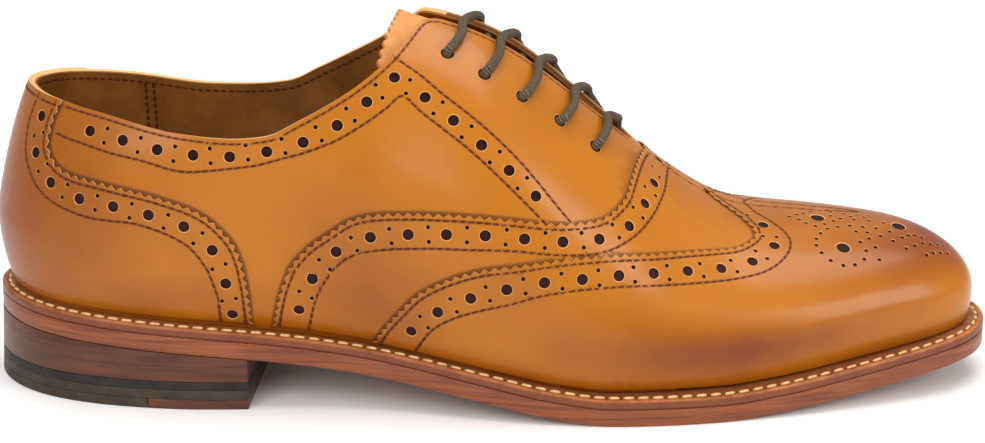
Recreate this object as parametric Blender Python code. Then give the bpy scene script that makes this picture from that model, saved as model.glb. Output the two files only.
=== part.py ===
# Brogue shoe, right foot: leather upper with wing cap, vamp and counter laid over it, stitched welt,
# leather sole and stacked heel. Toe towards +X, inner side of the foot towards +Y, standing on Z = 0.
import math
from collections import namedtuple

import bmesh
import bpy
import numpy as np
from mathutils import Vector
from mathutils.geometry import delaunay_2d_cdt

MM = 0.001

# Outline of the sole seen from above, round the outer side to the toe and back along the inner side
EdgePoint = namedtuple("EdgePoint", "x y")
OUTLINE = [
    EdgePoint(0, 0), EdgePoint(11, -23), EdgePoint(40, -36.5), EdgePoint(75, -39.5),
    EdgePoint(112, -39.5), EdgePoint(150, -46.8), EdgePoint(188, -51), EdgePoint(235, -43),
    EdgePoint(275, -28.3), EdgePoint(301, -9.5), EdgePoint(302.5, 9), EdgePoint(293, 26),
    EdgePoint(269, 41.5), EdgePoint(230, 50.5), EdgePoint(190, 47.5), EdgePoint(145, 36),
    EdgePoint(103, 31.5), EdgePoint(65, 33.5), EdgePoint(32, 32), EdgePoint(9, 20)]

# Height of the sole's underside: heel seat, arch, flat tread under the ball, toe spring
Tread = namedtuple("Tread", "x height")
UNDERSIDE = [
    Tread(0, 21), Tread(40, 18.3), Tread(80, 15.5), Tread(115, 11.2), Tread(150, 5.4), Tread(173, 1.4),
    Tread(188, 0), Tread(220, 0), Tread(238, 1.4), Tread(258, 4), Tread(285, 7.8), Tread(304, 10.6)]

# Side of the last: how far the upper's foot stands in from the sole's edge, how far the wall swells
# out above it, and the height of that widest line above the welt
Side = namedtuple("Side", "x inset swell widest")
SIDES = [
    Side(0, 4, 3, 23), Side(60, 5.5, 4, 17), Side(110, 5.2, 5, 21), Side(200, 6.3, 2.4, 14),
    Side(262, 6.5, 2.6, 12.5), Side(304, 5.2, 0.6, 9)]

# Sections across the last: top of the section, its sideways place, and the fullness of side and top
Section = namedtuple("Section", "x ridge ridge_y side_full top_full")
SECTIONS = [
    Section(36, 112, 0.5, 1.15, 2.4), Section(62, 114, 1.5, 2.8, 1.75), Section(90, 137, 2, 3.4, 2),
    Section(122, 118.4, 2, 2.8, 1.6), Section(150, 107.2, 1.5, 2.6, 1.75), Section(185, 81, 3, 1.8, 1.8),
    Section(205, 63.5, 4.5, 1.65, 1.75), Section(228, 51, 7.5, 1.9, 1.85), Section(248, 48.5, 9.5, 1.9, 1.9),
    Section(262, 47, 10, 2.05, 1.85)]

# The ribs fan round heel and toe: where a rib meets the spine, for the x of its widest points
Fan = namedtuple("Fan", "x spine_x")
FANS = [
    Fan(0, 35), Fan(30, 43.5), Fan(62, 66), Fan(95, 96), Fan(150, 150), Fan(228, 227),
    Fan(255, 250), Fan(280, 260), Fan(304, 264)]

# Height of the topline, from the heel back to the top of the facings
Collar = namedtuple("Collar", "x height")
COLLAR = [
    Collar(11, 91.5), Collar(37, 87.6), Collar(62, 83.2), Collar(76, 82.5), Collar(87, 83.4),
    Collar(96, 87.6), Collar(105, 92.3), Collar(114, 97.5), Collar(122, 103.2), Collar(127, 107.8), Collar(134, 116)]

# Half the width of the gap between the two facings
Gap = namedtuple("Gap", "x half")
GAPS = [Gap(120, 8.6), Gap(150, 8.4), Gap(168, 6.8), Gap(178, 5.4), Gap(190, 3.6), Gap(196.5, 0), Gap(304, 0)]

# Edges of the pieces laid over the upper. "up" is the share of the way from welt to ridge, and the
# other columns are shares of the way from the heel back to the toe tip, alike on both sides.
Style = namedtuple("Style", "up counter vamp cap")
STYLES = [
    Style(0.00, 0.293, 0.309, 0.395), Style(0.12, 0.292, 0.316, 0.416), Style(0.20, 0.288, 0.327, 0.438),
    Style(0.25, 0.256, 0.376, 0.486), Style(0.30, 0.217, 0.423, 0.519), Style(0.40, 0.146, 0.522, 0.565),
    Style(0.50, 0.099, 0.571, 0.612), Style(0.60, 0.101, 0.603, 0.666), Style(0.70, 0.104, 0.616, 0.720),
    Style(0.80, 0.104, 0.621, 0.734), Style(0.90, 0.104, 0.627, 0.719), Style(1.00, 0.104, 0.631, 0.688)]

# Thicknesses and clearances in mm
CLEAR = 0.3
SOLE_THICK = 5.0
WELT_THICK = 3.0
WELT_INNER = 4.0          # how far the welt runs in under the upper's foot
WALL = 2.0
OVERLAY_LIFT = 0.55
OVERLAY_THICK = 1.2
CAP_THICK = 2.1
PANEL_SEAM = 0.0012       # seam between vamp and cap, as a share of the way round
OVERLAY_FOOT = 0.016      # lowest row of an overlay, as a share of the rib's length
INSOLE_THICK = 3.0
WIDEST_UP = 0.2           # share of the way up at which the wall is widest

# Tongue
TONGUE_DEPTH = 5.9
TONGUE_THICK = 1.8
TONGUE_BACK, TONGUE_FRONT = 0.398, 0.638
TONGUE_UP = 0.69

# Eyelets and lace
EYELET_COUNT = 5
EYELET_WAY_FIRST, EYELET_WAY_LAST = 0.459, 0.588
EYELET_UP = 0.73
EYELET_HOLE = 2.0         # radius
LACE_RADIUS = 1.2
LACE_TURN = 2.0           # radius of each turn at an eyelet, and the lace's height over the leather

# Heel
BREAST_X = 80.0
HEEL_FLARE = 1.2
LAYER_TOPS = (3.0, 5.9, 8.5)
INSERT_BACK_X = 50.0

# Numbers of ribs and rows
RIBS = 44
ROWS = 11
FINE = 1440
CORE_HEIGHT = 32.0        # height of the middle of the forefoot
PANEL_SCALE = np.array([320.0, 100.0])    # mm along the welt and up a rib, about, for one whole share
EDGE_SPACING = 7.0
MERGE = 0.02


def smooth_column(rows, column, x):
    """Value of one column at x, on a smooth curve that never overshoots its rows."""
    xs = np.array([row[0] for row in rows], float)
    ys = np.array([getattr(row, column) for row in rows], float)
    span = np.diff(xs)
    rise = np.diff(ys) / span
    slope = np.zeros(len(xs))
    for i in range(1, len(xs) - 1):
        if rise[i - 1] * rise[i] > 0:
            before, after = 2 * span[i] + span[i - 1], span[i] + 2 * span[i - 1]
            slope[i] = (before + after) / (before / rise[i - 1] + after / rise[i])
    slope[0], slope[-1] = rise[0], rise[-1]
    x = np.clip(np.asarray(x, float), xs[0], xs[-1])
    i = np.clip(np.searchsorted(xs, x, side="right") - 1, 0, len(xs) - 2)
    t = (x - xs[i]) / span[i]
    return ((2 * t**3 - 3 * t**2 + 1) * ys[i] + (t**3 - 2 * t**2 + t) * span[i] * slope[i]
            + (3 * t**2 - 2 * t**3) * ys[i + 1] + (t**3 - t**2) * span[i] * slope[i + 1])


def closed_curve(rows, count):
    """Points on the smooth closed curve through the rows."""
    knots = np.asarray(rows, float)
    size = len(knots)
    span = np.linalg.norm(np.roll(knots, -1, 0) - knots, axis=1)
    left, right = np.zeros((size, size)), np.zeros((size, 2))
    for i in range(size):
        after = (i + 1) % size
        left[i, i - 1] += span[i - 1]
        left[i, i] += 2 * (span[i - 1] + span[i])
        left[i, after] += span[i]
        right[i] = 6 * ((knots[after] - knots[i]) / span[i] - (knots[i] - knots[i - 1]) / span[i - 1])
    bend = np.linalg.solve(left, right)
    along = np.concatenate([[0], np.cumsum(span)])
    place = np.linspace(0, along[-1], count, endpoint=False)
    i = np.clip(np.searchsorted(along, place, side="right") - 1, 0, size - 1)
    j = (i + 1) % size
    length = span[i][:, None]
    a, b = (along[i + 1] - place)[:, None], (place - along[i])[:, None]
    return ((bend[i] * a**3 + bend[j] * b**3) / (6 * length) + (knots[i] / length - bend[i] * length / 6) * a
            + (knots[j] / length - bend[j] * length / 6) * b)


EDGE = closed_curve(OUTLINE, FINE)
EDGE_STEP = np.roll(EDGE, -1, 0) - np.roll(EDGE, 1, 0)
EDGE_OUT = np.column_stack([EDGE_STEP[:, 1], -EDGE_STEP[:, 0]]) / np.linalg.norm(EDGE_STEP, axis=1)[:, None]
EDGE_OUT *= -np.sign(EDGE_OUT[0, 0])
EDGE_WAY = np.concatenate([[0], np.cumsum(np.linalg.norm(np.roll(EDGE, -1, 0) - EDGE, axis=1))])
TOE_WAY = EDGE_WAY[int(EDGE[:, 0].argmax())]
CENTRE = (EDGE.min(0) - np.array([HEEL_FLARE, 0]) + EDGE.max(0)) / 2    # the heel flares out past the sole


def edge_point(way, side, inset):
    """Point of the plan, in from the sole's edge: way 0 at the heel back, 1 at the toe; side -1 outer."""
    along = np.where(side < 0, way * TOE_WAY, EDGE_WAY[-1] - way * (EDGE_WAY[-1] - TOE_WAY))
    i = np.clip(np.searchsorted(EDGE_WAY, along, side="right") - 1, 0, FINE - 1)
    j = (i + 1) % FINE
    part = ((along - EDGE_WAY[i]) / (EDGE_WAY[i + 1] - EDGE_WAY[i]))[..., None]
    point = EDGE[i] * (1 - part) + EDGE[j] * part
    out = EDGE_OUT[i] * (1 - part) + EDGE_OUT[j] * part
    return point - out * inset(point[..., 0])[..., None]


def foot_inset(x):
    return smooth_column(SIDES, "inset", x)


def widest_inset(x):
    return smooth_column(SIDES, "inset", x) - smooth_column(SIDES, "swell", x)


def sole_height(x):
    return smooth_column(UNDERSIDE, "height", x)


def last_point(way, up, side):
    """Point of the upper's outer face, in mm: up 0 at the welt, 1 on the ridge."""
    way, up, side = np.broadcast_arrays(np.asarray(way, float), np.asarray(up, float), np.asarray(side, float))
    foot = edge_point(way, side, foot_inset)
    wide = edge_point(way, side, widest_inset)
    other = edge_point(way, -side, widest_inset)
    spine_x = smooth_column(FANS, "spine_x", (wide[..., 0] + other[..., 0]) / 2)
    spine = np.stack([spine_x, smooth_column(SECTIONS, "ridge_y", spine_x)], -1)
    foot_z = sole_height(foot[..., 0]) + SOLE_THICK + WELT_THICK + CLEAR
    wide_z = foot_z + smooth_column(SIDES, "widest", wide[..., 0])
    ridge_z = smooth_column(SECTIONS, "ridge", spine_x)
    low = np.clip(up / WIDEST_UP, 0, 1)
    turn = np.clip((up - WIDEST_UP) / (1 - WIDEST_UP), 0, 1) * math.pi / 2
    across = np.maximum(np.cos(turn), 0) ** (2 / smooth_column(SECTIONS, "top_full", spine_x))
    height = np.sin(turn) ** (2 / smooth_column(SECTIONS, "side_full", spine_x))
    below = foot + (wide - foot) * np.sin(low * math.pi / 2)[..., None]
    above = spine + (wide - spine) * across[..., None]
    plan = np.where((up > WIDEST_UP)[..., None], above, below)
    z = np.where(up > WIDEST_UP, wide_z + (ridge_z - wide_z) * height, foot_z + (wide_z - foot_z) * low)
    return np.concatenate([plan, z[..., None]], -1)


def last_normal(way, up, side):
    """Outward direction of the last at a point, from small steps along the surface."""
    step = 0.004
    along = last_point(way + step, up, side) - last_point(way - step, up, side)
    upward = last_point(way, up + step, side) - last_point(way, up - step, side)
    normal = np.cross(along, upward)
    if normal[1] * side < 0:
        normal = -normal
    return normal / np.linalg.norm(normal)


def top_of_rib(way, side):
    """Share of the way up at which the upper ends: at the topline, at a facing's edge, or on the ridge."""
    ups = np.linspace(0, 1, 401)
    points = last_point(way, ups, side)
    over = points[:, 2] >= smooth_column(COLLAR, "height", points[:, 0])
    over[points[:, 0] > COLLAR[-1].x] = False
    from_ridge = np.abs(points[:, 1] - points[-1, 1])
    over |= (from_ridge < smooth_column(GAPS, "half", points[:, 0])) & (points[:, 0] > GAPS[0].x)
    return ups[int(over.argmax())] if over.any() else 1.0


def up_at_share(way, side, share, top=1.0):
    """How far up a rib lies the given share of its length from the welt to its top."""
    ups = np.linspace(0, top, 121)
    points = last_point(way, ups, side)
    length = np.concatenate([[0], np.cumsum(np.linalg.norm(np.diff(points, axis=0), axis=1))])
    return np.interp(np.asarray(share) * length[-1], length, ups)


def even_rows(way, side, count):
    """Points evenly spaced up one rib, from the welt to its top."""
    top = top_of_rib(way, side)
    return last_point(way, up_at_share(way, side, np.linspace(0, 1, count), top), side)


def to_world(point):
    return Vector(((point[0] - CENTRE[0]) * MM, (point[1] - CENTRE[1]) * MM, point[2] * MM))


def material(name, colour, roughness):
    made = bpy.data.materials.new(name)
    made.use_nodes = True
    shader = made.node_tree.nodes["Principled BSDF"]
    shader.inputs["Base Color"].default_value = (*colour, 1)
    shader.inputs["Roughness"].default_value = roughness
    shader.inputs["Metallic"].default_value = 0.0
    made.diffuse_color = (*colour, 1)
    return made


def make_object(name, bm, made, sharp_degrees=40):
    """Object of the mesh, shaded smooth up to a sharp angle."""
    bmesh.ops.remove_doubles(bm, verts=bm.verts, dist=MERGE * MM)
    bmesh.ops.recalc_face_normals(bm, faces=bm.faces)
    mesh = bpy.data.meshes.new(name)
    bm.to_mesh(mesh)
    bm.free()
    mesh.shade_smooth()
    mesh.set_sharp_from_angle(angle=math.radians(sharp_degrees))
    mesh.materials.append(made)
    thing = bpy.data.objects.new(name, mesh)
    bpy.context.scene.collection.objects.link(thing)
    return thing


def add_grid(bm, grid):
    """Quads between the rows of a grid of points in mm."""
    verts = [[bm.verts.new(to_world(point)) for point in row] for row in grid]
    for lower, upper in zip(verts, verts[1:]):
        for k in range(len(lower) - 1):
            bm.faces.new((lower[k], lower[k + 1], upper[k + 1], upper[k]))


def away_from_core(point):
    """Vector to a point from the nearest place on a line through the middle of the foot."""
    back, front = to_world((FANS[0].spine_x, 0, 0)).x, to_world((FANS[-1].spine_x, 0, 0)).x
    core = Vector((min(max(point.x, back), front), 0, min(point.z, CORE_HEIGHT * MM)))
    return point - core


def wall_object(name, grids, made, lift, thick, inward):
    """Wall through grids of points on the last."""
    bm = bmesh.new()
    for grid in grids:
        add_grid(bm, grid)
    return sheet_object(name, bm, made, lift, thick, inward)


def sheet_object(name, bm, made, lift, thick, inward):
    """Open sheet on the last, set off from it along its normals and given its thickness."""
    bmesh.ops.remove_doubles(bm, verts=bm.verts, dist=MERGE * MM)
    bmesh.ops.dissolve_degenerate(bm, edges=bm.edges, dist=MERGE * MM)
    bmesh.ops.recalc_face_normals(bm, faces=bm.faces)
    if sum(face.normal.dot(away_from_core(face.calc_center_median())) for face in bm.faces) < 0:
        bmesh.ops.reverse_faces(bm, faces=bm.faces)
    mesh = bpy.data.meshes.new(name)
    bm.to_mesh(mesh)
    bm.free()
    mesh.shade_smooth()
    mesh.materials.append(made)
    thing = bpy.data.objects.new(name, mesh)
    bpy.context.scene.collection.objects.link(thing)
    if lift:
        offset = thing.modifiers.new("Set off", "DISPLACE")
        offset.strength = lift * MM
        offset.mid_level = 0.0
    shell = thing.modifiers.new("Wall", "SOLIDIFY")
    shell.thickness = thick * MM
    shell.offset = -1.0 if inward else 1.0
    return thing


def rib_solid(name, stations, made):
    """Closed solid through stations of four points: outer bottom, outer top, inner top, inner bottom."""
    bm = bmesh.new()
    loops = [[bm.verts.new(to_world(point)) for point in station] for station in stations]
    for near, far in zip(loops, loops[1:]):
        for k in range(4):
            after = (k + 1) % 4
            bm.faces.new((near[k], near[after], far[after], far[k]))
    bm.faces.new(loops[0][::-1])
    bm.faces.new(loops[-1])
    bmesh.ops.remove_doubles(bm, verts=bm.verts, dist=MERGE * MM)
    bmesh.ops.dissolve_degenerate(bm, edges=bm.edges, dist=MERGE * MM)
    return make_object(name, bm, made)


def plan_pair(way, inset):
    """Outer and inner point of the plan at one rib."""
    return edge_point(np.asarray(way), np.asarray(-1), inset), edge_point(np.asarray(way), np.asarray(1), inset)


def plate_stations(ways, inset_bottom, inset_top, bottom, top):
    """Stations of a plate whose faces follow heights given along x."""
    stations = []
    for way in ways:
        low_outer, low_inner = plan_pair(way, inset_bottom)
        high_outer, high_inner = plan_pair(way, inset_top)
        stations.append([
            (*low_outer, bottom(low_outer[0])), (*high_outer, top(high_outer[0])),
            (*high_inner, top(high_inner[0])), (*low_inner, bottom(low_inner[0]))])
    return stations


def even_ways(first, last, count):
    return [first + (last - first) * k / (count - 1) for k in range(count)]


def make_upper(made):
    """Hollow shell of the quarters and forepart, with its eyelets punched."""
    grids = []
    for side in (-1, 1):
        grids.append([even_rows(way, side, ROWS + 1) for way in even_ways(0, 1, RIBS + 1)])
    upper = wall_object("upper", grids, made, 0, WALL, True)
    punch = make_punch()
    cut = upper.modifiers.new("Eyelets", "BOOLEAN")
    cut.operation = "DIFFERENCE"
    cut.object = punch
    return upper


def eyelets():
    """Way of each pair of eyelets, from the top of the facings down."""
    return even_ways(EYELET_WAY_FIRST, EYELET_WAY_LAST, EYELET_COUNT)


def make_punch():
    """Pins that punch the eyelets."""
    bm = bmesh.new()
    for way in eyelets():
        for side in (-1, 1):
            centre = last_point(way, EYELET_UP, side)
            normal = Vector(last_normal(way, EYELET_UP, side))
            turn = normal.to_track_quat("Z", "Y").to_matrix().to_4x4()
            turn.translation = to_world(centre) - normal * WALL / 2 * MM
            bmesh.ops.create_cone(
                bm, cap_ends=True, segments=8, radius1=EYELET_HOLE * MM, radius2=EYELET_HOLE * MM,
                depth=3 * WALL * MM, matrix=turn)
    mesh = bpy.data.meshes.new("eyelet_punch")
    bm.to_mesh(mesh)
    bm.free()
    punch = bpy.data.objects.new("eyelet_punch", mesh)
    punch.hide_render = True
    punch.display_type = "WIRE"
    bpy.context.scene.collection.objects.link(punch)
    return punch


def style_edge(edge, side, to_topline):
    """Places (way, share of the rib) evenly along a style edge of one side."""
    places = []
    for up in np.linspace(0, 1, 161):
        way = float(smooth_column(STYLES, edge, up))
        top = top_of_rib(way, side) if to_topline else 1.0
        if up > top:
            break
        points = last_point(way, np.linspace(0, top, 121), side)
        length = np.concatenate([[0], np.cumsum(np.linalg.norm(np.diff(points, axis=0), axis=1))])
        places.append((way, np.interp(up / top, np.linspace(0, 1, 121), length) / length[-1]))
    places = np.array(places)
    places[-1, 1] = 1.0
    run = np.concatenate([[0], np.cumsum(np.hypot(*(np.diff(places, axis=0) * PANEL_SCALE).T))])
    start = np.interp(OVERLAY_FOOT, places[:, 1], run)
    stops = np.linspace(start, run[-1], max(int((run[-1] - start) / EDGE_SPACING), 4))
    return np.column_stack([np.interp(stops, run, places[:, 0]), np.interp(stops, run, places[:, 1])])


def side_of(around):
    """Way and side for a place round the shoe: 0 heel back, up to 1 along the outer side, on to 2 back."""
    if around < 0:
        return -around, 1
    return (around, -1) if around <= 1 else (2 - around, 1)


def panel_sheet(first, last, to_topline):
    """Triangles of a panel between two edges (around, share): corner points, and faces on the upper's grid."""
    ribs = np.arange(-RIBS, 2 * RIBS + 1) / RIBS
    margin = EDGE_SPACING / PANEL_SCALE[0] * 0.35

    def between(share):
        lowest, highest = np.interp(share, first[:, 1], first[:, 0]), np.interp(share, last[:, 1], last[:, 0])
        return ribs[(ribs > lowest + margin) & (ribs < highest - margin)]

    loop = [tuple(place) for place in first]
    loop += [(around, 1.0) for around in between(1.0)]
    loop += [tuple(place) for place in last[::-1]]
    loop += [(around, OVERLAY_FOOT) for around in between(OVERLAY_FOOT)[::-1]]
    border = np.array(loop) * PANEL_SCALE
    inner = [(around, share) for share in even_ways(0, 1, ROWS + 1)[1:-1] for around in between(share)]
    inner = [place for place in inner
             if np.hypot(*(border - np.array(place) * PANEL_SCALE).T).min() > EDGE_SPACING * 0.4]
    flat = [Vector(np.array(place) * PANEL_SCALE) for place in loop + inner]
    corners, _, faces, *_ = delaunay_2d_cdt(flat, [], [list(range(len(loop)))], 1, 1e-4)
    points = []
    for corner in corners:
        way, side = side_of(corner.x / PANEL_SCALE[0])
        top = top_of_rib(way, side) if to_topline else 1.0
        share = min(corner.y / PANEL_SCALE[1], 1)
        points.append(last_point(way, up_at_share(way, side, share, top), side))
    return points, faces


def panel_object(name, borders, made, thick, to_topline=False):
    """Panel laid over the upper, one sheet for each pair of borders."""
    bm = bmesh.new()
    for first, last in borders:
        points, faces = panel_sheet(first, last, to_topline)
        verts = [bm.verts.new(to_world(point)) for point in points]
        for face in faces:
            bm.faces.new([verts[k] for k in face])
    return sheet_object(name, bm, made, OVERLAY_LIFT, thick, False)


def make_panels(made):
    """Heel counter, middle panel and wing cap."""
    back = np.array([2, 0])
    flip = np.array([-1, 1])
    seam = np.array([PANEL_SEAM, 0])
    counter = {side: style_edge("counter", side, True) for side in (-1, 1)}
    vamp = {side: style_edge("vamp", side, False) for side in (-1, 1)}
    cap = {side: style_edge("cap", side, False) for side in (-1, 1)}
    panel_object("counter", [(counter[1] * flip, counter[-1])], made, OVERLAY_THICK, to_topline=True)
    panel_object("vamp", [(vamp[-1], cap[-1] - seam), (back + cap[1] * flip + seam, back + vamp[1] * flip)],
                 made, OVERLAY_THICK)
    panel_object("wing_cap", [(cap[-1], back + cap[1] * flip)], made, CAP_THICK)


def make_tongue(made):
    """Tongue under the facings, up a little past the topline."""
    grids = []
    for side in (-1, 1):
        ups = even_ways(TONGUE_UP, 1, 6)
        grids.append([[last_point(way, up, side) for up in ups] for way in even_ways(TONGUE_BACK, TONGUE_FRONT, 15)])
    return wall_object("tongue", grids, made, -TONGUE_DEPTH, TONGUE_THICK, True)


def lace_route():
    """Points of the lace, in mm: up through an outer eyelet, over, down the next inner one and back under."""
    ways = eyelets()
    turns = even_ways(0, math.pi / 2, 3)
    depth = -(WALL + LACE_TURN)

    def over_leather(way, up, side, height):
        return last_point(way, up, side) + last_normal(way, min(up, 0.985), side) * height

    def through(way, side, towards, rising):
        """Quarter turn, straight stretch and quarter turn of the lace at one eyelet."""
        centre = last_point(way, EYELET_UP, side)
        normal = last_normal(way, EYELET_UP, side)
        outer, inner = towards
        outer = outer - normal * np.dot(outer, normal)
        inner = inner - normal * np.dot(inner, normal)
        outer, inner = outer / np.linalg.norm(outer), inner / np.linalg.norm(inner)
        low = [centre + normal * (-WALL - LACE_TURN * math.sin(a)) + inner * LACE_TURN * (1 - math.cos(a))
               for a in reversed(turns)]
        high = [centre + normal * LACE_TURN * math.sin(a) + outer * LACE_TURN * (1 - math.cos(a)) for a in turns]
        points = low + high
        return points if rising else points[::-1]

    def bar(way_from, side_from, way_to, side_to, height, shares):
        points = []
        for share in shares:
            way = way_from + (way_to - way_from) * share
            if share < 0.5:
                up = EYELET_UP + (1 - EYELET_UP) * share * 2
                points.append(over_leather(way, up, side_from, height))
            else:
                up = 1 - (1 - EYELET_UP) * (share - 0.5) * 2
                points.append(over_leather(way, up, side_to, height))
        return points

    shares = (0.22, 0.34, 0.45, 0.55, 0.66, 0.78)
    route = []
    for k, way in enumerate(ways):
        over_way = ways[k + 1] if k + 1 < len(ways) else way + 0.014
        across = last_point(over_way, 1, 1) - last_point(way, EYELET_UP, -1)
        under = last_point(way, 1, 1) - last_point(way, EYELET_UP, -1)
        if k:
            under_far = last_point(way, 1, 1) - last_point(way, EYELET_UP, 1)
            back = last_point(ways[k - 1], 1, 1) - last_point(way, EYELET_UP, 1)
            route += bar(ways[k - 1], -1, way, 1, LACE_TURN, shares)
            route += through(way, 1, (back, under_far), False)
            route += bar(way, 1, way, -1, depth, shares)
        route += through(way, -1, (across, under), True)
    end_way = ways[-1] + 0.014
    route += [over_leather(ways[-1] + 0.006, EYELET_UP + 0.09, -1, LACE_TURN),
              over_leather(ways[-1] + 0.010, EYELET_UP + 0.17, -1, LACE_TURN)]
    ridge = last_point(end_way, 1, -1)
    down = last_normal(end_way, 0.97, 1)
    down[1] = 0
    down /= np.linalg.norm(down)
    route += [ridge + down * height + np.array([0, y, 0]) for height, y in ((1.6, -1.6), (0.4, -0.4), (-1.4, 0), (-2.6, 0))]
    return route


def make_lace(made):
    curve = bpy.data.curves.new("lace", "CURVE")
    curve.dimensions = "3D"
    curve.bevel_depth = LACE_RADIUS * MM
    curve.bevel_resolution = 2
    curve.use_fill_caps = True
    points = lace_route()
    spline = curve.splines.new("POLY")
    spline.points.add(len(points) - 1)
    for slot, point in zip(spline.points, points):
        slot.co = (*to_world(point), 1)
    curve.materials.append(made)
    lace = bpy.data.objects.new("lace", curve)
    bpy.context.scene.collection.objects.link(lace)
    return lace


def make_outsole(made):
    def top(x):
        return sole_height(x) + SOLE_THICK

    def flush(x):
        return np.zeros_like(x)

    return rib_solid("outsole", plate_stations(even_ways(0, 1, RIBS + 1), flush, flush, sole_height, top), made)


def make_welt(made):
    """Ring under the upper's foot, flush with the outsole's edge."""
    def inner_edge(x):
        return foot_inset(x) + WELT_INNER

    bm = bmesh.new()
    ways = even_ways(0, 1, RIBS + 1)
    places = [(way, -1) for way in ways] + [(way, 1) for way in reversed(ways[1:-1])]
    loops = []
    for way, side in places:
        out = edge_point(np.asarray(way), np.asarray(side), lambda x: np.zeros_like(x))
        inn = edge_point(np.asarray(way), np.asarray(side), inner_edge)
        low, high = SOLE_THICK + CLEAR, SOLE_THICK + WELT_THICK
        corners = [(*out, sole_height(out[0]) + low), (*out, sole_height(out[0]) + high),
                   (*inn, sole_height(inn[0]) + high), (*inn, sole_height(inn[0]) + low)]
        loops.append([bm.verts.new(to_world(corner)) for corner in corners])
    for near, far in zip(loops, loops[1:] + loops[:1]):
        for k in range(4):
            after = (k + 1) % 4
            bm.faces.new((near[k], near[after], far[after], far[k]))
    return make_object("welt", bm, made)


def make_insole(made):
    """Leather footbed inside the upper's foot, on the welt."""
    def inside(x):
        return foot_inset(x) + WALL + 2 * CLEAR

    def bottom(x):
        return sole_height(x) + SOLE_THICK + WELT_THICK + CLEAR

    def top(x):
        return bottom(x) + INSOLE_THICK

    return rib_solid("insole", plate_stations(even_ways(0, 1, 31), inside, inside, bottom, top), made)


def breast_way(x):
    """Way at which the outer edge reaches x."""
    ways = np.linspace(0, 0.5, 501)
    points = edge_point(ways, np.full(501, -1.0), lambda v: np.zeros_like(v))
    return float(np.interp(x, points[:, 0], ways))


def heel_layer(name, ways, low, high, made):
    """One layer of the heel between two heights above the floor; high may follow the sole."""
    full = sole_height(0.0)

    def flare_at(z):
        return lambda x: np.zeros_like(x) - HEEL_FLARE * (1 - z / full) * np.clip((BREAST_X - x) / 30 + 0.4, 0, 1)

    top = high if callable(high) else (lambda x: high + 0 * x)
    top_level = float(top(40.0))
    stations = plate_stations(ways, flare_at(low), flare_at(top_level), lambda x: low + 0 * x, top)
    return rib_solid(name, stations, made)


def make_heel(leather, band, rubber):
    """Leather lifts, black band, rubber layer, and the top piece with its leather insert at the breast."""
    front = breast_way(BREAST_X)
    ways = even_ways(0, front, 17)
    first, second, third = LAYER_TOPS
    heel_layer("heel_stack", ways, third + CLEAR, lambda x: sole_height(x) - CLEAR, leather)
    heel_layer("heel_band", ways, second + CLEAR, third, band)
    heel_layer("heel_rubber", ways, first + CLEAR, second, rubber)
    seam = breast_way(INSERT_BACK_X)
    heel_layer("top_piece", even_ways(0, seam - 0.0006, 13), 0, first, rubber)
    heel_layer("top_piece_insert", even_ways(seam + 0.0006, front, 7), 0, first, leather)


def build():
    for thing in list(bpy.data.objects):
        bpy.data.objects.remove(thing)
    tan = material("tan_leather", (0.55, 0.21, 0.03), 0.35)
    make_upper(tan)
    make_panels(tan)
    make_tongue(material("tongue_leather", (0.62, 0.33, 0.13), 0.5))
    make_lace(material("lace_cotton", (0.09, 0.07, 0.05), 0.85))
    make_insole(material("lining_leather", (0.25, 0.10, 0.03), 0.6))
    make_welt(material("welt_leather", (0.5, 0.2, 0.07), 0.5))
    sole = material("sole_leather", (0.22, 0.08, 0.04), 0.45)
    make_outsole(sole)
    make_heel(sole, material("band_rubber", (0.035, 0.032, 0.03), 0.6), material("heel_rubber", (0.06, 0.055, 0.045), 0.7))


build()
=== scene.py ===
import math

import bpy
import numpy as np
from mathutils import Euler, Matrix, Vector
from mathutils.geometry import delaunay_2d_cdt
from mathutils.kdtree import KDTree


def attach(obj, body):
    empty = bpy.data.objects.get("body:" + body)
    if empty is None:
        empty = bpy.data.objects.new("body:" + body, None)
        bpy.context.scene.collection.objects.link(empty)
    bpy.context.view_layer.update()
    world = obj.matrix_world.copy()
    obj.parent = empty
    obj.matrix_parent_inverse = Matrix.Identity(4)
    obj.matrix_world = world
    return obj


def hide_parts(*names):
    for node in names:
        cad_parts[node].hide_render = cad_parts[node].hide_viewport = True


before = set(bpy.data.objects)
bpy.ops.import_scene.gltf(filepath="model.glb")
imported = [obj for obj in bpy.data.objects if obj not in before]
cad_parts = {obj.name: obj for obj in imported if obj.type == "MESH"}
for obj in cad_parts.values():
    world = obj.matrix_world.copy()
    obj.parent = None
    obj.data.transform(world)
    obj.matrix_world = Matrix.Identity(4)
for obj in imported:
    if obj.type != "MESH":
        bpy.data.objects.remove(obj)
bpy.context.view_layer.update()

mm = 0.001

# Camera at the photo's angle
cameraSettings = {
    "place": (0.01753, -0.70229, 0.2703),
    "turn": (72.34, 0, 1.38),           # degrees
    "lens": 87.81,
    "sensor": 36,
}
camera = bpy.data.objects.new("camera", bpy.data.cameras.new("camera"))
bpy.context.scene.collection.objects.link(camera)
camera.location = cameraSettings["place"]
camera.rotation_euler = Euler([math.radians(turn) for turn in cameraSettings["turn"]])
camera.data.lens = cameraSettings["lens"]
camera.data.sensor_width = cameraSettings["sensor"]
camera.data.clip_start, camera.data.clip_end = 0.01, 20
bpy.context.scene.camera = camera

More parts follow.
